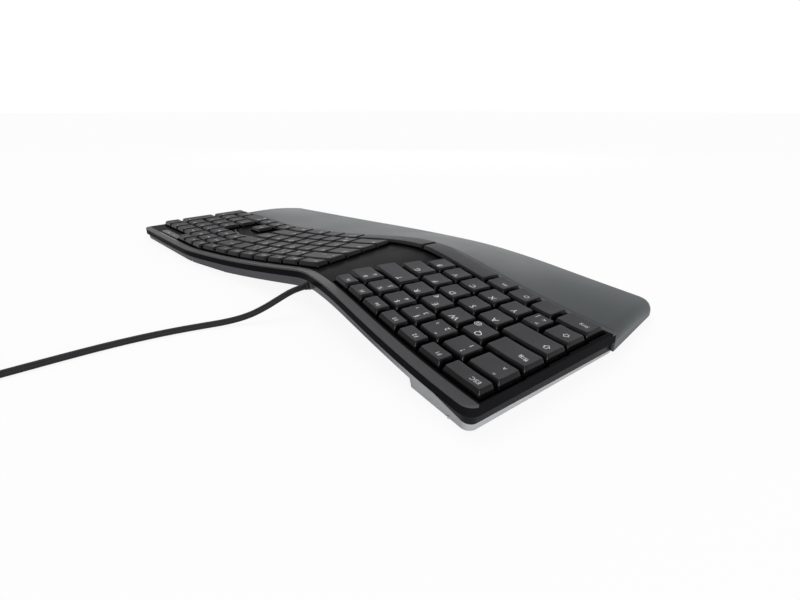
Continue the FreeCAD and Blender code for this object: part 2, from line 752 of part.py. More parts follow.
def rear_region(behind):
    """Everything behind a line parallel to the rows."""
    line = row_line(behind, NOTCH_RADIUS)
    left = left_point(-size("left_margin") - OVERHANG, behind)
    right_x = size("right_end") + OVERHANG
    line[0] = (left[0], left[1], 0.0)
    line[-1] = (right_x, line[-1][1], 0.0)
    return prism(line + [(right_x, REACH_Y, 0.0), (left[0], REACH_Y, 0.0)])


def front_region(behind):
    """Everything in front of a line parallel to the rows."""
    line = row_line(behind, PALM_TURN_RADIUS)
    left_x = size("left_end") - OVERHANG
    right_x = size("right_end") + OVERHANG
    line[0] = (left_x, line[0][1], 0.0)
    line[-1] = (right_x, line[-1][1], 0.0)
    return prism([(left_x, -REACH_Y, 0.0), (right_x, -REACH_Y, 0.0)] + list(reversed(line)))


OVERHANG = 6.0
SCREW_EDGE = 4.2
FOOT_REAR_STEP = 16.0
FOOT_END_STEP = 32.0
FOOT_FRONT_Y = -72.0


def screw_points():
    """Plan points of the housing screws, all over the two foot blocks."""
    rear = size("rear_margin") - SCREW_EDGE
    front = -(size("front_margin") - SCREW_EDGE)
    pitch = size("key_pitch")
    points = (
        left_point(-pitch, rear),
        left_point(-pitch, front),
        block_point(-6.0 * pitch, rear),
        block_point(0.0, rear),
        block_point(-5.0 * pitch, front),
        block_point(0.0, front),
    )
    return [(x, y) for x, y, _ in points]


def foot_points():
    """Plan points of the rubber feet on the two foot blocks."""
    rear = size("rear_margin") - FOOT_REAR_STEP
    pitch = size("key_pitch")
    return (
        left_point(-8.0, rear)[:2],
        (size("left_end") + FOOT_END_STEP, FOOT_FRONT_Y),
        block_point(-6.0 * pitch, rear)[:2],
        block_point(-1.0 * pitch, rear)[:2],
        (size("arch_right") + FOOT_END_STEP, FOOT_FRONT_Y),
        (size("right_end") - FOOT_END_STEP, FOOT_FRONT_Y),
    )


def posts(points, radius, bottom, top):
    """Upright cylinders at plan points, bottom and top as functions of x."""
    return [Part.makeCylinder(radius, top(x) - bottom(x), Vector(x, y, bottom(x))) for x, y in points]


def window_corners(gap):
    """Outline of the indicator window, drawn in by a gap."""
    x = size("window_x")
    y = block_point(0.0, size("window_step"))[1]
    half_x = size("window_length") / 2.0 - gap
    half_y = size("window_width") / 2.0 - gap
    radius = WINDOW_CORNER - gap
    return [(x - half_x, y - half_y, radius), (x + half_x, y - half_y, radius),
            (x + half_x, y + half_y, radius), (x - half_x, y + half_y, radius)]


WINDOW_CORNER = 2.0


def shell_lean(z):
    """How far the bottom shell stands in from the rear edge under the notch, at a height."""
    share = (size("shell_reach") - z) / (size("shell_reach") - size("foot_gap"))
    return size("shell_inset") + (size("shell_draw") + size("notch_draw") - size("shell_inset")) * share


def gland_wall_y():
    """Y where the gland leaves the leaning rear wall."""
    wire = rounded_wire(case_corners())
    probe = Part.makeLine(Vector(size("gland_x"), 0, 0), Vector(size("gland_x"), REACH_Y, 0))
    return wire.distToShape(probe)[1][0][0].y - shell_lean(size("gland_height"))


GLAND_WALL_Y = gland_wall_y()
GLAND_BACK_Y = GLAND_WALL_Y - size("gland_inside")
GLAND_TIP_Y = GLAND_WALL_Y + size("gland_outside")


def top_case():
    """Upper housing: rim, centre deck, key wells and the plate that guides the stems."""
    rim = size("rim_level")
    deck = DECK_LEVEL
    under = GUIDE_LEVEL
    joint = JOINT_LEVEL
    recess = wave_band(-1.0, rim + size("strip_depth"))
    case = slab(case_corners(), rim, joint)
    case = case.cut(well_prism().common(wave_band(-1.0, deck)))
    case = case.cut(rear_region(size("rear_strip_margin")).common(recess))
    case = case.cut(front_region(-size("front_strip_margin")).common(recess))
    case = case.cut(prism(window_corners(0.0)).common(recess))
    case = case.cut(slab(inset(case_corners(), size("sheet_inset") - CAVITY_PLAY), under, joint + 1.0))
    guide = size("stem_width") + 2.0 * size("stem_play")
    holes = []
    for frame in STEM_FRAMES:
        hole = square_post(guide, -under - 1.0, 1.0 - deck)
        hole.Placement = frame
        holes.append(hole)
    holes += posts(screw_points(), size("screw_shank") + size("screw_play"),
                   lambda x: crown(x) - joint - 1.0,
                   lambda x: crown(x) - joint + size("screw_grip") + size("screw_play"))
    return case.cut(holes)


CAVITY_PLAY = 0.3


NOTCH_CORNERS = (6, 7)


def shell_block(extra):
    """Leaning block of the bottom shell, drawn in by extra."""
    top = inset(whole_corners(), size("shell_inset") + extra)
    bottom = inset(whole_corners(), size("shell_draw") + extra)
    for index in NOTCH_CORNERS:
        x, y, radius = bottom[index]
        bottom[index] = (x, y - size("notch_draw"), radius)
    return leaning_block(bottom, size("foot_gap"), top, size("shell_reach"))


def arch_room():
    """Room under the keyboard between the two foot blocks."""
    left = size("arch_left")
    right = size("arch_right")
    slope = size("arch_slope") / size("shell_reach")
    low = GROUND
    rise = SKY - low
    floor = size("foot_gap") - low
    left_low = left - slope * floor
    right_low = right + slope * floor
    gate = Part.makePolygon([
        Vector(left_low, -REACH_Y, low), Vector(right_low, -REACH_Y, low),
        Vector(right_low - slope * rise, -REACH_Y, SKY),
        Vector(left_low + slope * rise, -REACH_Y, SKY),
        Vector(left_low, -REACH_Y, low),
    ])
    front = size("arch_front")
    back = size("arch_back")
    full = size("crest_height") - ARCH_LEVEL
    start = size("foot_gap")
    wedge = Part.makePolygon([
        Vector(-SPAN_X, front, low), Vector(-SPAN_X, front, start), Vector(-SPAN_X, back, full),
        Vector(-SPAN_X, back, SKY), Vector(-SPAN_X, REACH_Y, SKY), Vector(-SPAN_X, REACH_Y, low),
        Vector(-SPAN_X, front, low),
    ])
    through = Part.Face(gate).extrude(Vector(0, 2.0 * REACH_Y, 0))
    ramp = Part.Face(wedge).extrude(Vector(2.0 * SPAN_X, 0, 0))
    return wave_band(ARCH_LEVEL, SKY).common(through).common(ramp)


SPAN_X = 280.0


def bottom_shell():
    """Lower housing: leaning walls, two foot blocks, arch, screw bosses and palm tray."""
    joint = JOINT_LEVEL + size("joint_gap")
    floor = FLOOR_LEVEL
    wall = size("case_wall")
    outside = shell_block(0.0)
    rear = outside.common(slab(case_corners(), joint, SKY))
    tray = outside.common(Part.makeBox(2.0 * SPAN_X, 2.0 * REACH_Y, size("palm_lip"),
                                       Vector(-SPAN_X, -REACH_Y, 0)))
    shell = rear.fuse(tray)
    cavity = shell_block(wall).common(slab(inset(case_corners(), wall), joint - 1.0, floor))
    shell = shell.cut(cavity)
    bosses = posts(screw_points(), size("boss_radius"),
                   lambda x: crown(x) - floor - 0.5,
                   lambda x: crown(x) - joint - BOSS_DROP)
    shell = shell.fuse([boss.common(outside) for boss in bosses])
    tools = posts(screw_points(), size("screw_shank") + size("screw_play"),
                  lambda x: 0.0, lambda x: crown(x))
    tools += posts(screw_points(), size("screw_head") + size("screw_play"),
                   lambda x: 0.0, lambda x: size("foot_gap") + size("screw_head_height"))
    tools.append(arch_room())
    play = size("foot_play")
    for x, y in foot_points():
        length = size("foot_length") + 2.0 * play
        width = size("foot_width") + 2.0 * play
        tools.append(Part.makeBox(length, width, size("foot_thickness"),
                                  Vector(x - length / 2.0, y - width / 2.0, 0)))
    tools.append(Part.makeCylinder(size("gland_radius") + size("gland_play"), 3.0 * OVERHANG,
                                   Vector(size("gland_x"), GLAND_BACK_Y, size("gland_height")),
                                   Vector(0, 1, 0)))
    length = size("board_length") + 2.0 * size("board_play")
    width = size("board_width") + 2.0 * size("board_play")
    tools.append(Part.makeBox(length, width, OVERHANG,
                              Vector(size("board_x") - length / 2.0, size("board_y") - width / 2.0,
                                     board_floor())))
    return shell.cut(tools)


BOSS_DROP = 0.1


def board_floor():
    """Height of the flat bed under the controller board."""
    return size("crest_height") - ARCH_LEVEL + size("board_bed")


def trim_strip(region, band_gap):
    """Trim strip that fills its recess in the case rim."""
    band = wave_band(size("rim_level"), size("rim_level") + size("strip_depth") - band_gap)
    return prism(case_corners()).common(region).common(band)


def dome_mat():
    """Rubber mat with a collar around the foot of every stem."""
    level = MAT_LEVEL
    mat = slab(inset(case_corners(), size("sheet_inset")), level, level + size("mat_thickness"))
    collars = []
    for frame in STEM_FRAMES:
        outside = square_post(size("collar_width"), -level - size("mat_thickness") / 2.0,
                              size("collar_height") - level)
        inside = square_post(size("collar_bore"), -level, size("collar_height") - level + 1.0)
        collar = outside.cut(inside)
        collar.Placement = frame
        collars.append(collar)
    return mat.fuse(collars)


def flat_sheet(level, thickness):
    return slab(inset(case_corners(), size("sheet_inset")), level, level + thickness)


# Palm rest: sections from its rear line to its front edge, lofted from end to end
END_STATIONS = (-1.0, 0.5, 2.0, 6.0)
INNER_STATIONS = 10
TOP_SHARES = (-0.1, 0.0, 0.22, 0.45, 0.68, 0.85)
ROUND_SHARES = (1.0, 0.35, 0.08)
PALM_LOW = -8.0
FRONT_FOLLOW = 0.12


def palm_section(distance, drop, edge):
    """Closed section of the palm rest at a distance from its left end."""
    width = size("right_end") - size("left_end")
    share = distance / width
    left, _, right = front_corners()
    rear_x = size("left_end") + distance
    front_x = left[0] + (right[0] - left[0]) * share
    rear = Vector(rear_x, palm_line_y(rear_x), 0)
    run = Vector(front_x, front_line_y(front_x), 0) - rear
    end = max(min(distance, width - distance), 0.02 * edge)
    sink = edge - math.sqrt(edge ** 2 - (edge - end) ** 2) if end < edge else 0.0
    rear_z = crown(rear_x) - size("palm_rear_level") - drop - sink
    front_z = size("palm_front_height") - drop - sink
    front_z += FRONT_FOLLOW * (crown(rear_x) - crown(size("right_end")))
    places = list(TOP_SHARES) + [1.0 - edge * back / run.Length for back in ROUND_SHARES] + [1.0]
    top = []
    for place in places:
        eased = max(place, 0.0)
        z = rear_z + (front_z - rear_z) * eased + size("palm_crown") * math.sin(math.pi * eased)
        back = (1.0 - place) * run.Length
        if back < edge:
            z -= edge - math.sqrt(edge ** 2 - (edge - back) ** 2)
        top.append(rear + run * place + Vector(0, 0, z))
    curve = Part.BSplineCurve()
    curve.interpolate(top)
    rear_low = Vector(top[0].x, top[0].y, PALM_LOW)
    front_low = Vector(top[-1].x, top[-1].y, PALM_LOW)
    return Part.Wire([Part.makeLine(rear_low, top[0]), curve.toShape(),
                      Part.makeLine(top[-1], front_low), Part.makeLine(front_low, rear_low)])


def palm_loft(drop, edge):
    width = size("right_end") - size("left_end")
    inner = [width * step / INNER_STATIONS for step in range(1, INNER_STATIONS)]
    stations = list(END_STATIONS) + inner + [width - station for station in reversed(END_STATIONS)]
    sections = [palm_section(station, drop, edge) for station in stations]
    return Part.makeLoft(sections, True, False, False, 3)


def above(z):
    return Part.makeBox(2.0 * SPAN_X, 2.0 * REACH_Y, SKY, Vector(-SPAN_X, -REACH_Y, z))


def palm_core(gap):
    """Rigid base of the palm rest, grown by a gap towards the foam."""
    side = size("pad_side") + size("pad_gap") - gap
    frame = front_corners() + [(size("right_end"), REACH_Y, 0.0), (size("left_end"), REACH_Y, 0.0)]
    hull = palm_loft(size("pad_thickness") + size("pad_gap") - gap, CORE_EDGE)
    return hull.common(prism(inset(frame, side)))


CORE_EDGE = 2.0


def palm_base():
    core = palm_core(0.0).common(prism(palm_corners())).common(above(size("palm_lip")))
    return core.cut(arch_room())


def palm_pad():
    """Foam with a crown, rounded front and ends, around the rigid base."""
    pad = palm_loft(0.0, size("pad_edge")).common(prism(palm_corners()))
    pad = pad.common(above(size("palm_lip") + size("pad_gap")))
    return pad.cut(palm_core(size("pad_gap")))


# Cable: straight runs joined by tangent arcs, then a coil in two layers
COIL_X = size("coil_start_x") + size("coil_radius") + size("coil_pitch") * size("coil_turns") / 2.0
COIL_REACH = COIL_X - size("coil_start_x")
COIL_LOW = size("cable_radius") + size("tie_thickness") + size("tie_play")
LEAD = 2.0 * size("cable_radius")
CABLE_ROUTE = (
    (size("gland_x"), GLAND_TIP_Y, size("gland_height")),
    (-57.0, 96.0, 17.9),
    (-56.2, 106.5, 14.6),
    (-53.6, 117.0, 9.8),
    (-49.0, 128.0, 5.2),
    (-42.6, 141.0, 2.7),
    (-35.0, 158.5, 2.2),
    (-28.5, 181.0, 2.2),
    (-24.0, 208.0, 2.2),
    (-22.0, 236.0, 2.2),
    (-21.2, 260.0, 2.35),
    (-21.0, 279.0, 2.9),
    (size("coil_start_x"), size("coil_y") - LEAD, COIL_LOW),
)
PLUG_ROUTE = (
    (size("coil_start_x"), size("coil_y") + LEAD, COIL_LOW + size("coil_pitch")),
    (-21.0, 312.0, 7.95),
    (-23.2, 323.0, 7.0),
    (-28.0, 334.5, 5.5),
    (-32.5, 346.5, 4.4),
    (-34.0, 358.0, 4.1),
    (-34.0, 366.0, 4.1),
)
ARC_SHARE = 0.45


def cord_path(route):
    """Path along a route of points and the radii of its arcs."""
    points = [Vector(*point) for point in route]
    edges = []
    radii = []
    start = points[0]
    for before, here, after in zip(points, points[1:], points[2:]):
        back = before - here
        ahead = after - here
        reach = ARC_SHARE * min(back.Length, ahead.Length)
        half_turn = (math.pi - back.getAngle(ahead)) / 2.0
        radius = reach / math.tan(half_turn)
        back.normalize()
        ahead.normalize()
        middle = back + ahead
        middle.normalize()
        arc_start = here + back * reach
        arc_end = here + ahead * reach
        arc_middle = here + middle * (radius / math.cos(half_turn) - radius)
        edges.append(Part.makeLine(start, arc_start))
        edges.append(Part.Arc(arc_start, arc_middle, arc_end).toShape())
        radii.append(radius)
        start = arc_end
    edges.append(Part.makeLine(start, points[-1]))
    return Part.Wire(edges), radii


def tube(path, start, direction):
    """Round cable along a path."""
    ring = Part.Wire(Part.makeCircle(size("cable_radius"), start, direction))
    return path.makePipeShell([ring], True, False)


def biarc(start, tangent, end):
    """Two arcs from start to end, which is reached in the opposite direction."""
    reach = (end - start).Length / 2.0
    middle = (start + end) * 0.5 + tangent * reach
    arcs = []
    for first, corner, last in ((start, start + tangent * reach, middle),
                                (middle, end + tangent * reach, end)):
        chord_middle = (first + last) * 0.5
        half = (last - first).Length / 2.0
        turn = (corner - first).getAngle(last - first)
        out = corner - chord_middle
        out.normalize()
        arcs.append(Part.Arc(first, chord_middle + out * (half * math.tan(turn / 2.0)), last).toShape())
    return arcs


def coil_points():
    """Where the coil's half turns meet: in over one layer, up half a turn, out over the next."""
    pitch = size("coil_pitch")
    halves = 2 * int(size("coil_turns"))
    points = []
    for step in range(2 * halves + 1):
        if step <= halves:
            turns_in = (step + 1) // 2
        elif step % 2 == 1:
            turns_in = halves + 1 - (step - 1) // 2
        else:
            turns_in = halves - step // 2
        side = -1.0 if step % 2 == 0 else 1.0
        z = COIL_LOW if step <= halves else COIL_LOW + pitch
        points.append(Vector(COIL_X + side * (COIL_REACH - pitch * turns_in), size("coil_y"), z))
    return points


def coil_path():
    points = coil_points()
    edges = [Part.makeLine(points[0] - Vector(0, LEAD, 0), points[0])]
    for step, (start, end) in enumerate(zip(points, points[1:])):
        direction = Vector(0, 1.0 if step % 2 == 0 else -1.0, 0)
        edges += biarc(start, direction, end)
    edges.append(Part.makeLine(points[-1], points[-1] + Vector(0, LEAD, 0)))
    return Part.Wire(edges)


GAP_STEP = 1.5
GAP_SKIP = 10


def least_self_gap(path):
    """Least air between the turns of a wound tube, measured on points of its centre line."""
    points = path.discretize(Distance=GAP_STEP)
    least = path.Length
    for index, point in enumerate(points):
        for other in points[index + GAP_SKIP:]:
            least = min(least, point.distanceToPoint(other))
    return least - 2.0 * size("cable_radius")


# Objects of the document
NODES = []


def add_shape(name, shape):
    """Free-form piece whose shape is worked out from the sheet."""
    piece = doc.addObject("Part::Feature", name)
    piece.Label = name
    piece.Shape = shape
    NODES.append(piece)
    return piece


def add_solid(kind, name, placement, **bindings):
    """Part primitive with its sizes bound to cells of the sheet."""
    solid = doc.addObject(kind, name)
    solid.Label = name
    solid.Placement = placement
    for field, expression in bindings.items():
        solid.setExpression(field, expression)
    return solid


def add_join(kind, name, pieces):
    """Boolean of several bound solids."""
    join = doc.addObject(kind, name)
    join.Label = name
    if kind == "Part::Cut":
        join.Base, join.Tool = pieces
    else:
        join.Shapes = pieces
    NODES.append(join)
    return join


def add_padded(name, role, across, up, depth, corner=None):
    """PartDesign body: a rectangle around its origin, padded and rounded along the pad."""
    body = doc.addObject("PartDesign::Body", name)
    body.Label = name
    sketch = body.newObject("Sketcher::SketchObject", name + "_outline")
    plane = [item for item in body.Origin.OriginFeatures if item.Role == role][0]
    sketch.AttachmentSupport = (plane, [""])
    sketch.MapMode = "FlatFace"
    corners = [Vector(-1, -1, 0), Vector(1, -1, 0), Vector(1, 1, 0), Vector(-1, 1, 0)]
    for start, end in zip(corners, corners[1:] + corners[:1]):
        sketch.addGeometry(Part.LineSegment(start, end), False)
    for edge in range(4):
        sketch.addConstraint(Sketcher.Constraint("Coincident", edge, 2, (edge + 1) % 4, 1))
    sketch.addConstraint(Sketcher.Constraint("Horizontal", 0))
    sketch.addConstraint(Sketcher.Constraint("Horizontal", 2))
    sketch.addConstraint(Sketcher.Constraint("Vertical", 1))
    sketch.addConstraint(Sketcher.Constraint("Vertical", 3))
    sketch.addConstraint(Sketcher.Constraint("Symmetric", 0, 1, 1, 2, -1, 1))
    wide = sketch.addConstraint(Sketcher.Constraint("DistanceX", 0, 1, 0, 2, 2.0))
    high = sketch.addConstraint(Sketcher.Constraint("DistanceY", 1, 1, 1, 2, 2.0))
    sketch.renameConstraint(wide, "across")
    sketch.renameConstraint(high, "up")
    sketch.setExpression("Constraints.across", across)
    sketch.setExpression("Constraints.up", up)
    pad = body.newObject("PartDesign::Pad", name + "_pad")
    pad.Profile = sketch
    pad.setExpression("Length", depth)
    body.Tip = pad
    if corner:
        doc.recompute()
        edges = [f"Edge{index}" for index, edge in enumerate(pad.Shape.Edges, start=1)
                 if abs(edge.Length - pad.Length.Value) < 1e-6]
        rounding = body.newObject("PartDesign::Fillet", name + "_rounding")
        rounding.Base = (pad, edges)
        rounding.setExpression("Radius", corner)
        body.Tip = rounding
    NODES.append(body)
    return body


UPRIGHT = Rotation()
REARWARD = Rotation(Vector(1, 0, 0), -90.0)

add_shape("top_case", top_case())
add_shape("rear_trim_strip", trim_strip(rear_region(size("rear_strip_margin") + size("strip_gap")),
                                        size("strip_gap")))
add_shape("front_trim_strip", trim_strip(front_region(-size("front_strip_margin") - size("strip_gap")),
                                         size("strip_gap")))
add_shape("indicator_window", slab(window_corners(size("strip_gap")), size("rim_level"),
                                   size("rim_level") + size("strip_depth") - size("strip_gap")))
add_shape("bottom_shell", bottom_shell())
add_shape("dome_mat", dome_mat())
add_shape("membrane_sheet", flat_sheet(MEMBRANE_LEVEL, size("membrane_thickness")))
add_shape("steel_back_plate", flat_sheet(PLATE_LEVEL, size("plate_thickness")))
add_shape("palm_rest_base", palm_base())
add_shape("palm_rest_pad", palm_pad())

# Keys
grouped = {name: node for node, names in GROUPS.items() for name in names}
caps = {}
for key_name, key_cell in CELLS.items():
    caps.setdefault(grouped.get(key_name, "key_" + key_name), []).append(key_cap(key_cell))
for node_name, solids in caps.items():
    add_shape(node_name, Part.makeCompound(solids))
for node_name, rails in BARS.items():
    add_shape(node_name, space_bar(rails))

# Fixings, feet, board and gland
screws = []
for number, (x, y) in enumerate(screw_points(), start=1):
    bottom = size("foot_gap")
    head_top = bottom + size("screw_head_height")
    tip = crown(x) - JOINT_LEVEL + size("screw_grip")
    head = add_solid("Part::Cylinder", f"screw_head_{number}", Placement(Vector(x, y, bottom), UPRIGHT),
                     Radius="sizes.screw_head", Height="sizes.screw_head_height")
    shank = add_solid("Part::Cylinder", f"screw_shank_{number}", Placement(Vector(x, y, head_top), UPRIGHT),
                      Radius="sizes.screw_shank")
    shank.Height = tip - head_top
    screws += [head, shank]
add_join("Part::MultiFuse", "housing_screws", screws)

feet = []
for number, (x, y) in enumerate(foot_points(), start=1):
    corner = Vector(x - size("foot_length") / 2.0, y - size("foot_width") / 2.0, 0)
    feet.append(add_solid("Part::Box", f"rubber_foot_{number}", Placement(corner, UPRIGHT),
                          Length="sizes.foot_length", Width="sizes.foot_width",
                          Height="sizes.foot_thickness"))
add_join("Part::MultiFuse", "rubber_feet", feet)

board = add_padded("controller_board", "XY_Plane", "sizes.board_length", "sizes.board_width",
                   "sizes.board_thickness")
board.Placement = Placement(Vector(size("board_x"), size("board_y"), board_floor()), UPRIGHT)

gland_start = Vector(size("gland_x"), GLAND_BACK_Y, size("gland_height"))
gland_wall = Vector(size("gland_x"), GLAND_WALL_Y, size("gland_height"))
barrel = add_solid("Part::Cylinder", "gland_barrel", Placement(gland_start, REARWARD),
                   Radius="sizes.gland_radius", Height="sizes.gland_inside")
sleeve = add_solid("Part::Cone", "gland_sleeve", Placement(gland_wall, REARWARD),
                   Radius1="sizes.gland_radius", Radius2="sizes.gland_tip", Height="sizes.gland_outside")
add_join("Part::MultiFuse", "cable_gland", [barrel, sleeve])

# Cable, coil, tie and plug
lead_path, lead_radii = cord_path(CABLE_ROUTE)
tail_path, tail_radii = cord_path(PLUG_ROUTE)
wound_path = coil_path()
add_shape("usb_cable", tube(lead_path, Vector(*CABLE_ROUTE[0]), Vector(0, 1, 0)))
add_shape("cable_coil", tube(wound_path, Vector(*CABLE_ROUTE[-1]), Vector(0, 1, 0)))
add_shape("plug_lead", tube(tail_path, Vector(*PLUG_ROUTE[0]), Vector(0, 1, 0)))

innermost = COIL_REACH - size("coil_pitch") * size("coil_turns")
outermost = COIL_REACH - size("coil_pitch")
half_tie = (size("tie_width") + size("coil_pitch")) / 2.0
clear = size("cable_radius") + size("tie_play")
tie_near = size("coil_y") - math.sqrt(innermost ** 2 - half_tie ** 2) + clear
tie_far = size("coil_y") - outermost - clear
tie_top = COIL_LOW + size("coil_pitch") + clear
tie_x = COIL_X - (size("coil_pitch") + size("tie_width")) / 2.0
thick = size("tie_thickness")
band = add_solid("Part::Box", "tie_band", Placement(Vector(tie_x, tie_far - thick, 0), UPRIGHT),
                 Length="sizes.tie_width")
band.Width = tie_near - tie_far + 2.0 * thick
band.Height = tie_top + thick
bundle_room = add_solid("Part::Box", "tie_opening", Placement(Vector(tie_x, tie_far, thick), UPRIGHT),
                        Length="sizes.tie_width")
bundle_room.Width = tie_near - tie_far
bundle_room.Height = tie_top - thick
add_join("Part::Cut", "cable_tie", [band, bundle_room])

plug_start = Vector(*PLUG_ROUTE[-1])
grip = add_padded("plug_grip", "XZ_Plane", "sizes.plug_width", "sizes.plug_height",
                  "sizes.plug_length", "sizes.plug_corner")
grip.Placement = Placement(plug_start + Vector(0, size("plug_length"), 0), UPRIGHT)
contact_corner = plug_start + Vector(-size("contact_width") / 2.0, size("plug_length"),
                                     -size("contact_height") / 2.0)
shell_sheet = Vector(size("contact_wall"), 0, size("contact_wall"))
contact = add_solid("Part::Box", "contact_outside", Placement(contact_corner, UPRIGHT),
                    Length="sizes.contact_width", Width="sizes.contact_length",
                    Height="sizes.contact_height")
contact_room = add_solid("Part::Box", "contact_inside",
                         Placement(contact_corner + shell_sheet, UPRIGHT),
                         Length="sizes.contact_width - 2 * sizes.contact_wall",
                         Width="sizes.contact_length",
                         Height="sizes.contact_height - 2 * sizes.contact_wall")
add_join("Part::Cut", "plug_contact", [contact, contact_room])

doc.recompute()

broken = [item.Label for item in doc.Objects if "Invalid" in item.State or "Error" in item.State]
if broken:
    raise RuntimeError("objects failed: " + ", ".join(broken))
for node in NODES:
    if node.Shape.isNull() or not node.Shape.isValid() or not node.Shape.Solids:
        raise RuntimeError("bad shape: " + node.Label)

section = math.pi * size("cable_radius") ** 2
for label, path, radii in (("usb_cable", lead_path, lead_radii), ("plug_lead", tail_path, tail_radii),
                           ("cable_coil", wound_path, [])):
    filled = doc.getObject(label).Shape.Volume / section / path.Length
    print(f"{label}: {path.Length:.1f} mm, volume over section times length {filled:.4f}")
    if radii:
        print("  radii " + " ".join(f"{radius:.1f}" for radius in radii))
print(f"least gap in the coil {least_self_gap(wound_path):.2f} mm")

for node in NODES:
    node.Shape.exportStep(f"parts/{node.Label}.step")
print(f"{len(NODES)} nodes written")
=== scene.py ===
"""Looks of the wired ergonomic keyboard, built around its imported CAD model.

Blender objects are in metres. Outlines and heights are worked out in millimetres, as in the
part's source, and turned into metres where a mesh is made.
"""
import functools
import math
import string

import bpy
from mathutils import Matrix, Vector


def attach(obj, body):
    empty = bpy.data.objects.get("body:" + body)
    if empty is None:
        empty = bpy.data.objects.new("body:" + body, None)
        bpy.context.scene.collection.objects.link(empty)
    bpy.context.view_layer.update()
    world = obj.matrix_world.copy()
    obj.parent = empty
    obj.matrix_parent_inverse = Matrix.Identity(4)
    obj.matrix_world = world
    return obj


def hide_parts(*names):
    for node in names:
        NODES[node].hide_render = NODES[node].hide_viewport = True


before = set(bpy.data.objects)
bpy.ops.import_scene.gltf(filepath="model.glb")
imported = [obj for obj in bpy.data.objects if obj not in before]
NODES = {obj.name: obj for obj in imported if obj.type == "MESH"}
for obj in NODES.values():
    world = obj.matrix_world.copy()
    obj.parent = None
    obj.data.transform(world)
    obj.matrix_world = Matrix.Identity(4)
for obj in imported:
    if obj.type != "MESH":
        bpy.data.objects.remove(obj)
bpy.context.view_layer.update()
HOUSING = "housing"
MM = 0.001

# The wave of the key tops
CREST_HEIGHT = 34.0
CREST_PLACE = -88.0
WAVE_DROP = 17.5
WAVE_REACH = 110.0
WAVE_POWER = 1.7


def crown(x):
    """Height of the key tops above the desk at x."""
    fall = 1.0 - math.exp(-((abs(x - CREST_PLACE) / WAVE_REACH) ** WAVE_POWER))
    return CREST_HEIGHT - WAVE_DROP * fall


def crown_slope(x):
    step = 0.5
    return (crown(x + step) - crown(x - step)) / (2.0 * step)


# Key fields, as in the part's source: a place along a row and a distance behind the digit row
LEFT_END = -238.5
RIGHT_END = 238.4
LEFT_ROW = (-195.8, 81.7)
LEFT_ANGLE = 7.8
LEFT_BEND = 4.7
BEND_LENGTH = 100.0
RIGHT_ROW = (-23.9, 56.5)
RIGHT_ANGLE = 8.5
BLOCK_ROW = (226.9, 77.3)
PITCH = 19.05
NAVIGATION_COLUMNS = 6.5


def left_point(along, behind):
    """Plan place and angle in the left field, whose rows bend by LEFT_BEND degrees per BEND_LENGTH."""
    turn = -LEFT_BEND * along / BEND_LENGTH
    middle = math.radians(-LEFT_ANGLE + turn / 2.0)
    angle = math.radians(-LEFT_ANGLE + turn)
    x = LEFT_ROW[0] + along * math.cos(middle) - behind * math.sin(angle)
    y = LEFT_ROW[1] + along * math.sin(middle) + behind * math.cos(angle)
    return x, y, angle


def right_point(along, behind):
    angle = math.radians(RIGHT_ANGLE)
    x = RIGHT_ROW[0] + along * math.cos(angle) - behind * math.sin(angle)
    y = RIGHT_ROW[1] + along * math.sin(angle) + behind * math.cos(angle)
    return x, y, angle


def block_point(along, behind):
    return BLOCK_ROW[0] + along, BLOCK_ROW[1] + behind, 0.0


FIELDS = {"left": left_point, "right": right_point, "block": block_point}


def right_field_end(behind):
    """Place along a right row where the navigation columns begin."""
    angle = math.radians(RIGHT_ANGLE)
    edge = BLOCK_ROW[0] - NAVIGATION_COLUMNS * PITCH
    return (edge - RIGHT_ROW[0] + behind * math.sin(angle)) / math.cos(angle)


FUNCTION = -1
FUNCTION_STEP = 15.7
FUNCTION_DEPTH = 13.6
SPACE_ROW = 4
SPACE_LEFT_START = 57.0
SPACE_LEFT_END = 138.0
SPACE_RIGHT_END = 19.0
# Width of a last key that reaches to the navigation columns
TO_END = None
# Key rows: field, row, start along the row, names, and widths in pitches
ROWS = (
    ("left", FUNCTION, -33.2, "escape f1 f2 f3 f4 f5 f6", (1.4, 0.97, 0.97, 0.97, 0.97, 0.97, 0.97)),
    ("left", 0, -33.2, "caret digit_1 digit_2 digit_3 digit_4 digit_5 digit_6", (1.25, 1, 1, 1, 1, 1, 1.25)),
    ("left", 1, -32.5, "tab letter_q letter_w letter_e letter_r letter_t", (1.55, 1, 1, 1, 1, 1.9)),
    ("left", 2, -31.5, "caps_lock letter_a letter_s letter_d letter_f letter_g", (1.86, 1, 1, 1, 1, 1.33)),
    ("left", 3, -30.5, "shift_left angle_bracket letter_y letter_x letter_c letter_v letter_b",
     (1.08, 0.85, 1, 1, 1, 1, 1)),
    ("left", SPACE_ROW, -29.5, "control_left extra_left system_left alt_left", (1.36, 1.06, 1.06, 1.06)),
    ("right", FUNCTION, -28.0, "f7 f8 f9 f10 f11 f12 media_1 media_2", (1.26, 1, 1, 1, 1, 1, 1, TO_END)),
    ("right", 0, -28.0, "digit_7 digit_8 digit_9 digit_0 sharp_s accent backspace",
     (1.97, 1, 1, 1, 1, 1, TO_END)),
    ("right", 1, -27.0, "letter_z letter_u letter_i letter_o letter_p letter_ue plus",
     (1.4, 1, 1, 1, 1, 1, TO_END)),
    ("right", 2, -26.0, "letter_h letter_j letter_k letter_l letter_oe letter_ae enter",
     (1.62, 1, 1, 1, 1, 1, TO_END)),
    ("right", 3, -25.0, "letter_n letter_m comma period hyphen shift_right", (1.82, 1, 1, 1, 1, TO_END)),
    ("right", SPACE_ROW, SPACE_RIGHT_END, "alt_right extra_right menu control_right",
     (1.35, 1.08, 1.34, TO_END)),
)
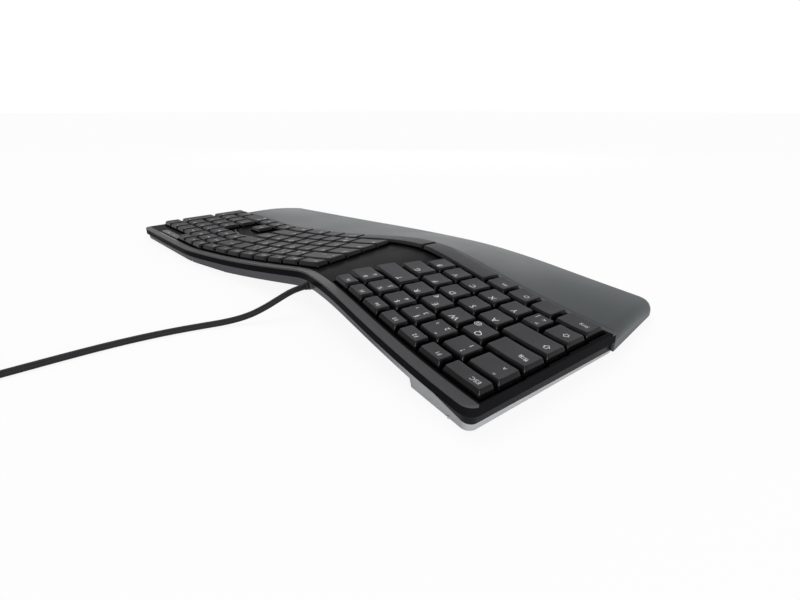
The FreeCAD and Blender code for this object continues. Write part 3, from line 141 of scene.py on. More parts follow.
# Block keys: row, column of the first key counted from the right, and names
BLOCK_ROWS = (
    (FUNCTION, 6, "media_3 media_4 media_5"),
    (0, 6, "insert home page_up num_lock num_divide num_times num_minus"),
    (1, 6, "delete end page_down num_7 num_8 num_9 num_plus"),
    (2, 3, "num_4 num_5 num_6"),
    (3, 5, "arrow_up"),
    (3, 3, "num_1 num_2 num_3 num_enter"),
    (SPACE_ROW, 6, "arrow_left arrow_down arrow_right num_0"),
    (SPACE_ROW, 1, "num_point"),
)
# Width and depth in pitches of keys larger than one
LARGE_KEYS = {"num_plus": (1, 2), "num_enter": (1, 2), "num_0": (2, 1)}
# Keys that share a CAD node; every other key has its own
GROUPS = {
    "function_keys_left": "f1 f2 f3 f4 f5 f6",
    "digit_keys_left": "caret digit_1 digit_2 digit_3 digit_4 digit_5",
    "upper_letters_left": "letter_q letter_w letter_e letter_r",
    "home_letters_left": "letter_a letter_s letter_d letter_f",
    "lower_letters_left": "angle_bracket letter_y letter_x letter_c letter_v letter_b",
    "modifier_keys_left": "extra_left system_left alt_left",
    "function_keys_right": "f7 f8 f9 f10 f11 f12",
    "media_keys": "media_1 media_2 media_3 media_4 media_5",
    "digit_keys_right": "digit_8 digit_9 digit_0 sharp_s accent",
    "upper_letters_right": "letter_u letter_i letter_o letter_p letter_ue",
    "home_letters_right": "letter_j letter_k letter_l letter_oe letter_ae",
    "lower_letters_right": "letter_m comma period hyphen",
    "modifier_keys_right": "alt_right extra_right menu",
    "navigation_keys": "insert home page_up delete end page_down",
    "arrow_row": "arrow_left arrow_down arrow_right",
    "number_block_top": "num_lock num_divide num_times num_minus",
    "number_block_keys": "num_7 num_8 num_9 num_4 num_5 num_6 num_1 num_2 num_3 num_point",
}


def row_room(row):
    """Middle of a row behind the digit row, and its depth."""
    if row == FUNCTION:
        return FUNCTION_STEP, FUNCTION_DEPTH
    return -row * PITCH, PITCH


def key_cells():
    """Every key but the space bars: name -> field, starts, ends, middle behind and depth."""
    cells = {}
    for field, row, along, names, widths in ROWS:
        behind, depth = row_room(row)
        for name, width in zip(names.split(), widths):
            if width is TO_END:
                ends = tuple(right_field_end(behind + side * depth / 2.0) for side in (-1.0, 1.0))
            else:
                ends = (along + width * PITCH, along + width * PITCH)
            cells[name] = (field, (along, along), ends, behind, depth)
            along = ends[0]
    for row, first, names in BLOCK_ROWS:
        behind, depth = row_room(row)
        for index, name in enumerate(names.split()):
            wide, deep = LARGE_KEYS.get(name, (1, 1))
            start = -(first - index + 0.5) * PITCH
            end = start + wide * PITCH
            beyond = (deep - 1) * PITCH
            cells[name] = ("block", (start, start), (end, end), behind - beyond / 2.0, depth + beyond)
    return cells


CELLS = key_cells()


def cell_corners(cell, side_draw, end_draw):
    """Plan corners of a cell, drawn in at its sides and at its front and rear."""
    field, starts, ends, behind, depth = cell
    low = behind - depth / 2.0 + end_draw
    high = behind + depth / 2.0 - end_draw
    places = ((starts[0] + side_draw, low), (ends[0] - side_draw, low),
              (ends[1] - side_draw, high), (starts[1] + side_draw, high))
    return [FIELDS[field](along, across)[:2] for along, across in places]


def cell_centre(cell):
    field, starts, ends, behind, _ = cell
    return FIELDS[field]((sum(starts) + sum(ends)) / 4.0, behind)


def key_frame(x, y, angle):
    """Matrix of a key: X along the row, Z square to the wave."""
    slope = crown_slope(x)
    normal = Vector((-slope, 0.0, 1.0)).normalized()
    along = Vector((math.cos(angle), math.sin(angle), slope * math.cos(angle))).normalized()
    across = normal.cross(along)
    matrix = Matrix((along, across, normal)).transposed().to_4x4()
    matrix.translation = Vector((x, y, crown(x)))
    return matrix


# Meshes
def mesh_object(name, shape, material, smooth=True):
    """Object of a shape's points, in millimetres, and faces."""
    mesh = bpy.data.meshes.new(name)
    mesh.from_pydata([Vector(point) * MM for point in shape.points], [], shape.faces)
    mesh.validate()
    mesh.update()
    mesh.polygons.foreach_set("use_smooth", [smooth] * len(mesh.polygons))
    mesh.materials.append(material)
    piece = bpy.data.objects.new(name, mesh)
    bpy.context.scene.collection.objects.link(piece)
    return piece


class Shape:
    """Points and faces that are gathered before they become one mesh."""

    def __init__(self):
        self.points = []
        self.faces = []

    def add_points(self, points):
        first = len(self.points)
        self.points += [Vector(point) for point in points]
        return list(range(first, len(self.points)))

    def bridge(self, low, high):
        """Band of quads between two closed rings."""
        count = len(low)
        for index in range(count):
            after = (index + 1) % count
            self.faces.append((low[index], low[after], high[after], high[index]))

    def fill(self, ring, upward=True):
        """Faces across a ring of rounded_ring: one over each end and a strip between them."""
        count = len(ring)
        first = SIDE_STEPS // 2 + ARC_STEPS
        last = count // 2 - first
        faces = [ring[count - first:] + ring[:first + 1], ring[last:count - last + 1]]
        for index in range(first, last):
            faces.append([ring[index], ring[index + 1], ring[count - index - 1], ring[count - index]])
        for face in faces:
            self.faces.append(tuple(face if upward else reversed(face)))

    def box(self, low, high):
        """Upright box between two corners."""
        xs, ys, zs = zip(low, high)
        ring = ((0, 0), (1, 0), (1, 1), (0, 1))
        bottom = self.add_points([(xs[i], ys[j], zs[0]) for i, j in ring])
        top = self.add_points([(xs[i], ys[j], zs[1]) for i, j in ring])
        self.bridge(bottom, top)
        self.faces.append(tuple(top))
        self.faces.append(tuple(reversed(bottom)))

    def turn(self, profile, steps, place):
        """Band turned about an axis: place gives the point of a level and two parts of a radius."""
        angles = [2.0 * math.pi * step / steps for step in range(steps)]
        rings = []
        for level, radius in profile:
            ring = [place(level, radius * math.cos(phi), radius * math.sin(phi)) for phi in angles]
            rings.append(self.add_points(ring))
        for low, high in zip(rings, rings[1:]):
            self.bridge(low, high)
        return rings

    def move(self, matrix):
        self.points = [matrix @ point for point in self.points]

    def join(self, other):
        first = len(self.points)
        self.points += other.points
        self.faces += [tuple(first + index for index in face) for face in other.faces]


# Rounded outlines
ARC_STEPS = 4
SIDE_STEPS = 8
LEAST_ARC_STEPS = 6
ARC_SPACING = 4.0


def shares(steps):
    """Evenly spaced shares from 0 to 1."""
    return [step / steps for step in range(steps + 1)]


def corner_arc(before, here, after, radius, steps=0):
    """Arc that rounds a corner, with as many steps as its length asks for if none are given."""
    here = Vector(here)
    back = (Vector(before) - here).normalized()
    ahead = (Vector(after) - here).normalized()
    half = back.angle(ahead) / 2.0
    centre = here + (back + ahead).normalized() * (radius / math.sin(half))
    start = here + back * (radius / math.tan(half)) - centre
    end = here + ahead * (radius / math.tan(half)) - centre
    if not steps:
        steps = max(LEAST_ARC_STEPS, int(radius * (math.pi - 2.0 * half) / ARC_SPACING))
    return [centre + start.lerp(end, share).normalized() * radius for share in shares(steps)]


def rounded_ring(corners, radius):
    """Ring around four corners, from the middle of its left side over the front."""
    arcs = []
    for index in range(4):
        after = corners[(index + 1) % 4]
        arcs.append(corner_arc(corners[index - 1], corners[index], after, radius, ARC_STEPS))
    ring = []
    for index in range(4):
        ring += arcs[index]
        run_start = arcs[index][-1]
        run_end = arcs[(index + 1) % 4][0]
        ring += [run_start.lerp(run_end, share) for share in shares(SIDE_STEPS)[1:-1]]
    return ring[-(SIDE_STEPS // 2):] + ring[:-(SIDE_STEPS // 2)]


def rounded_line(corners):
    """Points along corners (x, y, radius), each rounded by its radius."""
    line = [Vector(corners[0][:2])]
    for before, here, after in zip(corners, corners[1:], corners[2:]):
        line += corner_arc(before[:2], here[:2], after[:2], here[2])
    line.append(Vector(corners[-1][:2]))
    return line


# Key caps
KEY_GAP = 1.0
CAP_SKIRT = 5.0
SIDE_DRAW = 1.75
END_DRAW = 2.0
CAP_WALL = 1.2
STEM_WIDTH = 4.6
STEM_LENGTH = 10.1
HOLLOW_CORNER = 0.4
SKIRT_CORNER = 0.9
TOP_CORNER = 1.1
LEAST_CORNER = 0.15
TOP_ROUNDING = 0.55
ROUNDING_STEPS = 4
DISH = 0.32
DISH_START = 2.2
TOP_RINGS = (0.7, 1.6, 3.0, 4.6)
TOP_MIDDLE = 0.6


def cap_dish(share_x, z):
    """How far the dished top lies below a flat one, faded out down the walls."""
    fade = max(0.0, min(1.0, (z + DISH_START) / DISH_START))
    return DISH * (1.0 - share_x ** 2) * fade


def cap_corners(cell, inset, lift):
    """Corners of a cap about its centre, at a height above its skirt's edge."""
    x, y, angle = cell_centre(cell)
    turn = Matrix.Rotation(-angle, 2)
    share = lift / CAP_SKIRT
    side = KEY_GAP / 2.0 + inset + SIDE_DRAW * share
    end = KEY_GAP / 2.0 + inset + END_DRAW * share
    return [turn @ Vector((cx - x, cy - y)) for cx, cy in cell_corners(cell, side, end)]


def add_cap_skin(shape, hollow_ring, ring, top_rings):
    """Faces of a cap: its hollow, its leaning walls, a rounded rim and rings across its top."""
    inner_top = hollow_ring(CAP_WALL, -CAP_WALL, HOLLOW_CORNER)
    inner_low = hollow_ring(CAP_WALL, -CAP_SKIRT, HOLLOW_CORNER)
    shape.fill(inner_top, False)
    shape.bridge(inner_top, inner_low)
    rings = [inner_low, ring(0.0, -CAP_SKIRT, SKIRT_CORNER), ring(0.0, -DISH_START, TOP_CORNER)]
    for step in range(ROUNDING_STEPS + 1):
        phi = math.pi / 2.0 * step / ROUNDING_STEPS
        z = -TOP_ROUNDING * (1.0 - math.sin(phi))
        rings.append(ring(TOP_ROUNDING * (1.0 - math.cos(phi)), z, TOP_CORNER))
    for inset in top_rings:
        rings.append(ring(TOP_ROUNDING + inset, 0.0, max(TOP_CORNER - inset, LEAST_CORNER)))
    for low, high in zip(rings, rings[1:]):
        shape.bridge(low, high)
    shape.fill(rings[-1])


def add_stem(shape):
    half = STEM_WIDTH / 2.0
    shape.box((-half, -half, -STEM_LENGTH), (half, half, -CAP_WALL))


def cap_shape(cell):
    """Cap with leaning sides, a rounded rim, a dished top, a hollow and a stem, on its own frame."""
    front_left, front_right, _, rear_left = cap_corners(cell, 0.0, CAP_SKIRT)
    half_width = (front_right - front_left).length / 2.0
    half_depth = (rear_left - front_left).length / 2.0
    shape = Shape()

    def hollow_ring(inset, z, radius):
        ring = rounded_ring(cap_corners(cell, inset, z + CAP_SKIRT), radius)
        return shape.add_points([(point.x, point.y, z) for point in ring])

    def dished_ring(inset, z, radius):
        points = []
        for point in rounded_ring(cap_corners(cell, inset, z + CAP_SKIRT), radius):
            share = max(-1.0, min(1.0, point.x / half_width))
            points.append((point.x, point.y, z - cap_dish(share, z)))
        return shape.add_points(points)

    deepest = min(half_depth, half_width) - TOP_MIDDLE
    top_rings = [inset for inset in TOP_RINGS if inset + TOP_ROUNDING < deepest]
    add_cap_skin(shape, hollow_ring, dished_ring, top_rings)
    add_stem(shape)
    return shape, half_width, key_frame(*cell_centre(cell))


# Space bars: the plan of a rounded rectangle bent between a rear and a front rail
BAR_BEND_X = -38.0
BAR_BEND_SAG = 4.5
BAR_ARCH = 0.45
BAR_STEM_SHARES = (0.18, 0.5, 0.82)
BAR_RUN_STEPS = 5
LONG_STEP = 2.0
LONG_STEP_ALONG = 1.0
STRAIGHT_SAG = 1e-6


def left_bar_rails():
    behind, depth = row_room(SPACE_ROW)
    places = (SPACE_LEFT_START, (SPACE_LEFT_START + SPACE_LEFT_END) / 2.0, SPACE_LEFT_END)
    return [[Vector(left_point(along, behind + side * depth / 2.0)[:2]) for along in places]
            for side in (-1.0, 1.0)]


def right_bar_rails():
    behind, depth = row_room(SPACE_ROW)
    rails = []
    for side in (-1.0, 1.0):
        across = behind + side * depth / 2.0
        start = Vector(left_point(SPACE_LEFT_END, across)[:2])
        end = Vector(right_point(SPACE_RIGHT_END, across)[:2])
        middle = start.lerp(end, (BAR_BEND_X - start.x) / (end.x - start.x))
        rails.append([start, Vector((BAR_BEND_X, middle.y - BAR_BEND_SAG)), end])
    return rails


def arc_point(rail, share):
    """Point at a share of the circular arc through three points."""
    start, middle, end = rail
    chord = end - start
    offset = middle - start
    sag = (chord.x * offset.y - chord.y * offset.x) / chord.length
    side = Vector((-chord.y, chord.x)).normalized()
    if abs(sag) < STRAIGHT_SAG:
        return start.lerp(end, share)
    along = offset.dot(chord.normalized())
    radius_sum = (along ** 2 - along * chord.length + sag ** 2) / (2.0 * sag)
    centre = start + chord / 2.0 + side * radius_sum
    first = start - centre
    turn = first.angle_signed(end - centre)
    return centre + Matrix.Rotation(-turn * share, 2) @ first


def bar_ring(corners, radius):
    """Rounded ring with more points along the two long sides."""
    ring = rounded_ring(corners, radius)
    dense = []
    for index, point in enumerate(ring):
        following = ring[(index + 1) % len(ring)]
        dense.append(point)
        if (following - point).length > LONG_STEP and abs(following.x - point.x) > LONG_STEP_ALONG:
            dense += [point.lerp(following, share) for share in shares(BAR_RUN_STEPS)[1:-1]]
    return dense


def bar_shape(rails):
    """Space bar between two rails, with an arched top, a hollow and three stems."""
    front, rear = rails
    length = (arc_point(front, 1.0) - arc_point(front, 0.0)).length
    width = (rear[1] - front[1]).length
    shape = Shape()

    def place(a, b, z):
        share = (a + length / 2.0) / length
        point = arc_point(front, share).lerp(arc_point(rear, share), (b + width / 2.0) / width)
        lowered = max(0.0, 1.0 + z / DISH_START) * BAR_ARCH * (2.0 * b / width) ** 2
        x = point.x - crown_slope(point.x) * z
        return x, point.y, crown(point.x) + z - lowered

    def ring(inset, z, radius):
        draw = KEY_GAP / 2.0 + inset + (SIDE_DRAW + END_DRAW) / 2.0 * (z + CAP_SKIRT) / CAP_SKIRT
        a = length / 2.0 - draw
        b = width / 2.0 - draw
        corners = [(-a, -b), (a, -b), (a, b), (-a, b)]
        return shape.add_points([place(p.x, p.y, z) for p in bar_ring(corners, radius)])

    add_cap_skin(shape, ring, ring, TOP_RINGS)
    run = front[2] - front[0]
    for share in BAR_STEM_SHARES:
        middle = arc_point(front, share).lerp(arc_point(rear, share), 0.5)
        stem = Shape()
        add_stem(stem)
        stem.move(key_frame(middle.x, middle.y, math.atan2(run.y, run.x)))
        shape.join(stem)
    return shape


# Legends: each has its text, its place as shares of the key top, and its height
UPPER_LEFT = (0.20, 0.80)
LOWER_LEFT = (0.20, 0.30)
LOWER_RIGHT = (0.74, 0.30)
LETTER = 4.3
SIGN = 3.4
WORD = 2.7
WORD_LEVEL = 0.62
NUMBER_WORD_LEVEL = 0.22
SIGN_PLACES = (UPPER_LEFT, LOWER_LEFT, LOWER_RIGHT)
# Signs at the upper left, lower left and lower right of a key
SIGNS = {
    "caret": "°^", "digit_1": "!1", "digit_2": '"2²', "digit_3": "§3³", "digit_4": "$4",
    "digit_5": "%5", "digit_6": "&6", "digit_7": "/7{", "digit_8": "(8[", "digit_9": ")9]",
    "digit_0": "=0}", "sharp_s": "?ß\\", "accent": "`´", "plus": "*+~", "angle_bracket": "><|",
    "comma": ";,", "period": ":.", "hyphen": "_-",
}
# Signs of letter keys at the lower right
LETTER_SIGNS = {"letter_q": "@", "letter_e": "€", "letter_m": "µ"}
# Words and where they begin
WORDS = {
    "escape": ("ESC", 0.12), "control_left": ("Strg", 0.14), "control_right": ("Strg", 0.14),
    "alt_left": ("Alt", 0.16), "alt_right": ("Alt Gr", 0.12), "insert": ("Einfg", 0.14),
    "delete": ("Entf", 0.14), "home": ("Pos1", 0.14), "end": ("Ende", 0.14),
    "page_up": ("Bild", 0.14), "page_down": ("Bild", 0.14), "num_lock": ("Num", 0.14),
}
# Letters, digits and large signs at the upper left
LARGE_SIGNS = {"letter_ue": "Ü", "letter_oe": "Ö", "letter_ae": "Ä", "num_divide": "÷",
               "num_times": "×", "num_minus": "-"}
LARGE_SIGNS.update({"letter_" + letter: letter.upper() for letter in string.ascii_lowercase})
LARGE_SIGNS.update({f"num_{number}": str(number) for number in range(1, 10)})
LEGENDS = {
    "num_plus": (("+", (0.24, 0.88), LETTER),),
    "num_point": ((",", UPPER_LEFT, LETTER), ("Entf", (0.2, NUMBER_WORD_LEVEL), WORD)),
    "num_0": (("0", (0.12, 0.80), LETTER), ("Einfg", (0.1, NUMBER_WORD_LEVEL), WORD)),
}
for key_name, signs in SIGNS.items():
    LEGENDS[key_name] = [(sign, place, SIGN) for sign, place in zip(signs, SIGN_PLACES)]
for key_name, (word, word_start) in WORDS.items():
    LEGENDS[key_name] = ((word, (word_start, WORD_LEVEL), WORD),)
for key_name, sign in LARGE_SIGNS.items():
    LEGENDS[key_name] = [(sign, UPPER_LEFT, LETTER)]
    LEGENDS[key_name] += [(small, LOWER_RIGHT, SIGN) for small in LETTER_SIGNS.get(key_name, "")]
for number in range(1, 13):
    LEGENDS[f"f{number}"] = ((f"F{number}", (0.20, 0.60), WORD),)

# Strokes through points, in units of the mark's height
ARROW_LEFT = (((1.3, 0.5), (0.0, 0.5)), ((0.42, 0.9), (0.0, 0.5), (0.42, 0.1)))
ARROW_RIGHT = (((0.0, 0.5), (1.3, 0.5)), ((0.88, 0.9), (1.3, 0.5), (0.88, 0.1)))
ARROW_UP = (((0.5, 0.0), (0.5, 1.2)), ((0.1, 0.78), (0.5, 1.2), (0.9, 0.78)))
ARROW_DOWN = (((0.5, 1.2), (0.5, 0.0)), ((0.1, 0.42), (0.5, 0.0), (0.9, 0.42)))
HOLLOW_UP = (((0.5, 1.3), (1.1, 0.65), (0.8, 0.65), (0.8, 0.05), (0.2, 0.05), (0.2, 0.65),
              (-0.1, 0.65), (0.5, 1.3)),)
HOLLOW_DOWN = (((0.5, 0.0), (1.1, 0.65), (0.8, 0.65), (0.8, 1.25), (0.2, 1.25), (0.2, 0.65),
                (-0.1, 0.65), (0.5, 0.0)),)
TAB_ARROWS = (((0.0, 0.75), (1.4, 0.75)), ((0.3, 1.0), (0.0, 0.75), (0.3, 0.5)),
              ((0.0, 0.25), (1.4, 0.25)), ((1.1, 0.5), (1.4, 0.25), (1.1, 0.0)),
              ((-0.12, 1.05), (-0.12, 0.45)), ((1.52, 0.55), (1.52, -0.05)))
RETURN_ARROW = (((1.4, 1.1), (1.4, 0.4), (0.0, 0.4)), ((0.42, 0.8), (0.0, 0.4), (0.42, 0.0)))
LIST_MARK = (((0.0, 1.0), (1.0, 1.0), (1.0, 0.0), (0.0, 0.0), (0.0, 1.0)), ((0.25, 0.7), (0.75, 0.7)),
             ((0.25, 0.45), (0.75, 0.45)))
HALF_RING_STEPS = 6
RING_ANGLES = [step * math.pi / HALF_RING_STEPS for step in range(2 * HALF_RING_STEPS + 1)]
PLAIN_RING = (tuple((0.5 + 0.5 * math.cos(angle), 0.5 + 0.5 * math.sin(angle)) for angle in RING_ANGLES),)
NOTE_MARK = (((0.2, 0.1), (0.2, 1.0), (0.8, 0.8)),)
BARS_MARK = (((0.0, 0.2), (0.0, 0.8)), ((0.35, 0.0), (0.35, 1.0)), ((0.7, 0.2), (0.7, 0.8)))
# Drawn marks of keys: strokes, place and height
MARKS = {
    "tab": (TAB_ARROWS, (0.14, 0.62), 3.2),
    "caps_lock": (HOLLOW_DOWN, (0.14, 0.60), 3.0),
    "shift_left": (HOLLOW_UP, (0.26, 0.56), 3.0),
    "shift_right": (HOLLOW_UP, (0.10, 0.56), 3.0),
    "backspace": (ARROW_LEFT, (0.14, 0.62), 3.0),
    "enter": (RETURN_ARROW, (0.14, 0.60), 3.2),
    "num_enter": (RETURN_ARROW, (0.24, 0.82), 3.0),
    "menu": (LIST_MARK, (0.2, 0.56), 2.8),
    "system_left": (PLAIN_RING, (0.2, 0.60), 3.0),
    "arrow_up": (ARROW_UP, (0.3, 0.52), 2.8),
    "arrow_down": (ARROW_DOWN, (0.3, 0.52), 2.8),
    "arrow_left": (ARROW_LEFT, (0.26, 0.52), 2.8),
    "arrow_right": (ARROW_RIGHT, (0.26, 0.52), 2.8),
    "media_1": (NOTE_MARK, (0.3, 0.5), 2.6),
    "media_2": (BARS_MARK, (0.3, 0.5), 2.6),
    "media_3": (PLAIN_RING, (0.3, 0.5), 2.2),
    "media_4": (BARS_MARK, (0.3, 0.5), 2.4),
    "media_5": (NOTE_MARK, (0.3, 0.5), 2.4),
}
STROKE = 0.34
PRINT_LIFT = 0.02
FONT_STEPS = 3
FONT_OFFSET = -0.006
FONT_SIZE = 1.38
LARGEST_SPAN = 1.15 * PITCH


@functools.cache
def text_outline(text):
    """Points and faces of a text of font size 1."""
    curve = bpy.data.curves.new("legend", "FONT")
    curve.body = text
    curve.resolution_u = FONT_STEPS
    curve.offset = FONT_OFFSET
    holder = bpy.data.objects.new("legend", curve)
    bpy.context.scene.collection.objects.link(holder)
    depsgraph = bpy.context.evaluated_depsgraph_get()
    mesh = bpy.data.meshes.new_from_object(holder.evaluated_get(depsgraph))
    points = [(vertex.co.x, vertex.co.y) for vertex in mesh.vertices]
    faces = [tuple(face.vertices) for face in mesh.polygons]
    bpy.data.objects.remove(holder)
    bpy.data.curves.remove(curve)
    bpy.data.meshes.remove(mesh)
    return points, faces


def stroke_outline(strokes, width):
    """Points and faces of strokes of one width."""
    points = []
    faces = []
    for stroke in strokes:
        for start, end in zip(stroke, stroke[1:]):
            start = Vector(start)
            end = Vector(end)
            run = (end - start).normalized() * (width / 2.0)
            side = Vector((-run.y, run.x))
            first = len(points)
            points += [start - run - side, end + run - side, end + run + side, start - run + side]
            faces.append(tuple(range(first, first + 4)))
    return points, faces


def print_on_cap(name, cell, half_width):
    """Legend of one key as a thin printed shape on its dished top."""
    front_left, front_right, rear_right, rear_left = cap_corners(cell, 0.0, CAP_SKIRT)
    low_x = max(front_left.x, rear_left.x)
    width = min(front_right.x, rear_right.x) - low_x
    depth = rear_left.y - front_left.y
    outlines = [(text_outline(text), place, height * FONT_SIZE, height)
                for text, place, height in LEGENDS.get(name, ())]
    if name in MARKS:
        strokes, place, height = MARKS[name]
        outlines.append((stroke_outline(strokes, STROKE / height), place, height, height))
    shape = Shape()
    for (points, faces), place, scale, height in outlines:
        start_x = low_x + place[0] * min(width, LARGEST_SPAN)
        start_y = front_left.y + place[1] * depth - height / 2.0
        first = len(shape.points)
        for px, py in points:
            x = start_x + px * scale
            share = max(-1.0, min(1.0, x / half_width))
            shape.add_points([(x, start_y + py * scale, PRINT_LIFT - cap_dish(share, 0.0))])
        shape.faces += [tuple(first + index for index in face) for face in faces]
    return shape


# Materials
NOISE_RANGE = (0.3, 0.7)


def set_inputs(tree, node, inputs):
    """Sets inputs of a node to numbers and colours, or links them to outputs of other nodes."""
    for name, value in inputs.items():
        if isinstance(value, bpy.types.NodeSocket):
            tree.links.new(value, node.inputs[name])
        else:
            node.inputs[name].default_value = value


def add_node(tree, kind, inputs, operation=None):
    node = tree.nodes.new("ShaderNode" + kind)
    if operation:
        node.operation = operation
    set_inputs(tree, node, inputs)
    return node


def node_tree(name):
    """New material, its node tree, its shader and the place of a point in the object."""
    material = bpy.data.materials.new(name)
    material.use_nodes = True
    tree = material.node_tree
    coordinates = tree.nodes.new("ShaderNodeTexCoord")
    return material, tree, tree.nodes["Principled BSDF"], coordinates.outputs["Object"]


def noise(tree, place, scale, detail=2.0, roughness=0.5):
    inputs = {"Vector": place, "Scale": scale, "Detail": detail, "Roughness": roughness}
    return add_node(tree, "TexNoise", inputs).outputs["Fac"]


def shaded(colour, share):
    return tuple(channel * share for channel in colour)


def vary(tree, shader, value, colour, tones, rough):
    """Colour and roughness that follow a noise value, each between its two levels."""
    ramp = add_node(tree, "ValToRGB", {"Fac": value})
    for element, position, tone in zip(ramp.color_ramp.elements, NOISE_RANGE, tones):
        element.position = position
        element.color = (*shaded(colour, tone), 1.0)
    level = add_node(tree, "MapRange", {
        "Value": value, "From Min": NOISE_RANGE[0], "From Max": NOISE_RANGE[1],
        "To Min": rough[0], "To Max": rough[1]})
    set_inputs(tree, shader, {"Base Color": ramp.outputs["Color"], "Roughness": level.outputs["Result"]})


def bump(tree, shader, height, strength, depth):
    """Fine relief from a height between 0 and 1, in metres of depth."""
    relief = add_node(tree, "Bump", {"Height": height, "Strength": strength, "Distance": depth})
    tree.links.new(relief.outputs["Normal"], shader.inputs["Normal"])


def plastic(name, colour, rough, spread=0.12, gloss=0.5, grain_depth=0.00004):
    """Moulded plastic: fine spark-eroded grain, slightly uneven gloss and tone."""
    material, tree, shader, place = node_tree(name)
    shader.inputs["Specular IOR Level"].default_value = gloss
    clouds = noise(tree, place, scale=45.0, detail=3.0)
    tones = (1.0 - spread, 1.0 + spread)
    vary(tree, shader, clouds, colour, tones, rough=(rough - 0.03, rough + 0.05))
    bump(tree, shader, noise(tree, place, scale=2600.0, roughness=0.6), strength=0.35, depth=grain_depth)
    return material


def rubber(name, colour, rough):
    material, tree, shader, place = node_tree(name)
    set_inputs(tree, shader, {"Sheen Weight": 0.02, "Specular IOR Level": 0.1})
    clouds = noise(tree, place, scale=120.0, detail=3.0)
    vary(tree, shader, clouds, colour, tones=(0.85, 1.2), rough=(rough - 0.05, rough + 0.08))
    bump(tree, shader, noise(tree, place, scale=1800.0), strength=0.3, depth=0.00005)
    return material


def metal(name, colour, rough, brushed=True):
    """Metal with fine marks, drawn out along X where it is brushed."""
    material, tree, shader, place = node_tree(name)
    shader.inputs["Metallic"].default_value = 1.0
    if brushed:
        place = add_node(tree, "Mapping", {"Vector": place, "Scale": (0.05, 1.0, 1.0)}).outputs["Vector"]
    marks = noise(tree, place, scale=900.0, detail=4.0)
    vary(tree, shader, marks, colour, tones=(0.85, 1.1), rough=(rough - 0.06, rough + 0.08))
    bump(tree, shader, marks, strength=0.15, depth=0.00003)
    return material


def skin(name, colour, rough):
    """Smooth synthetic skin over foam, with fine pores and soft patches of gloss."""
    material, tree, shader, place = node_tree(name)
    shader.inputs["Specular IOR Level"].default_value = 0.07
    clouds = noise(tree, place, scale=18.0, detail=3.0)
    vary(tree, shader, clouds, colour, tones=(0.92, 1.08), rough=(rough - 0.04, rough + 0.04))
    pores = add_node(tree, "TexVoronoi", {"Vector": place, "Scale": 1500.0})
    pores.feature = "DISTANCE_TO_EDGE"
    bump(tree, shader, pores.outputs["Distance"], strength=0.25, depth=0.00005)
    return material


def circuit(name, base, lines):
    """Printed sheet: a base colour with a pattern of conductor tracks."""
    material, tree, shader, place = node_tree(name)
    tracks = add_node(tree, "TexBrick", {
        "Vector": place, "Scale": 90.0, "Mortar Size": 0.06, "Color1": (*base, 1.0),
        "Color2": (*shaded(base, 0.85), 1.0), "Mortar": (*lines, 1.0)})
    set_inputs(tree, shader, {"Base Color": tracks.outputs["Color"], "Roughness": 0.35})
    bump(tree, shader, tracks.outputs["Fac"], strength=0.2, depth=0.00003)
    return material


KEY_BLACK = plastic("key_black", (0.054, 0.054, 0.058), 0.46, gloss=0.03)
# Cap walls near black: painted shade, with a glossier finish than the tops
KEY_WALL_PAINTED_SHADE = plastic("key_wall_painted_shade", (0.003, 0.003, 0.0035), 0.24, gloss=0.16)
CASE_BLACK = plastic("case_black", (0.008, 0.008, 0.009), 0.3, spread=0.08, gloss=0.003)
STRIP_GREY = plastic("satin_grey", (0.068, 0.068, 0.071), 0.40, spread=0.06, gloss=0.06)
SHELL_GREY = plastic("shell_grey", (0.38, 0.385, 0.40), 0.45, spread=0.04, gloss=0.12)
# Paint of the shell, in metres: height and rise along X of its light line, and where its grey darkens into
# painted shade
SHELL_LINE = 0.0022
SHELL_LINE_RISE = 0.16
SHELL_SHADE_FADE = (-0.185, -0.145)
SHELL_PAINTED_SHADE = (0.07, 0.07, 0.08, 1.0)
SHELL_BLACK = (0.005, 0.005, 0.006, 1.0)


def paint_end_wall(material):
    """Paints the shell's left end black, down to a light line that widens along the rear wall.

    Towards the crest the light grey turns into a darker grey over the right half: painted shade of the far
    side under the black wall.
    """
    tree = material.node_tree
    shader = tree.nodes["Principled BSDF"]
    grey = shader.inputs["Base Color"].links[0].from_socket
    coordinates = tree.nodes["Texture Coordinate"].outputs["Object"]
    place = add_node(tree, "SeparateXYZ", {"Vector": coordinates}).outputs
    foot = SHELL_LINE - SHELL_LINE_RISE * LEFT_END * MM
    line = add_node(tree, "Math", {0: place["X"], 1: SHELL_LINE_RISE, 2: foot}, "MULTIPLY_ADD")
    above = add_node(tree, "Math", {0: place["Z"], 1: line.outputs["Value"]}, "GREATER_THAN")
    along = add_node(tree, "MapRange", {"Value": place["X"], "From Min": SHELL_SHADE_FADE[0],
                                        "From Max": SHELL_SHADE_FADE[1]})
    # Painted shade: the grey darkens along X towards the crest
    with_painted_shade = add_node(tree, "MixRGB", {"Fac": along.outputs["Result"], "Color1": grey,
                                      "Color2": SHELL_PAINTED_SHADE})
    painted = add_node(tree, "MixRGB", {"Fac": above.outputs["Value"], "Color1": with_painted_shade.outputs["Color"],
                                        "Color2": SHELL_BLACK})
    tree.links.new(painted.outputs["Color"], shader.inputs["Base Color"])


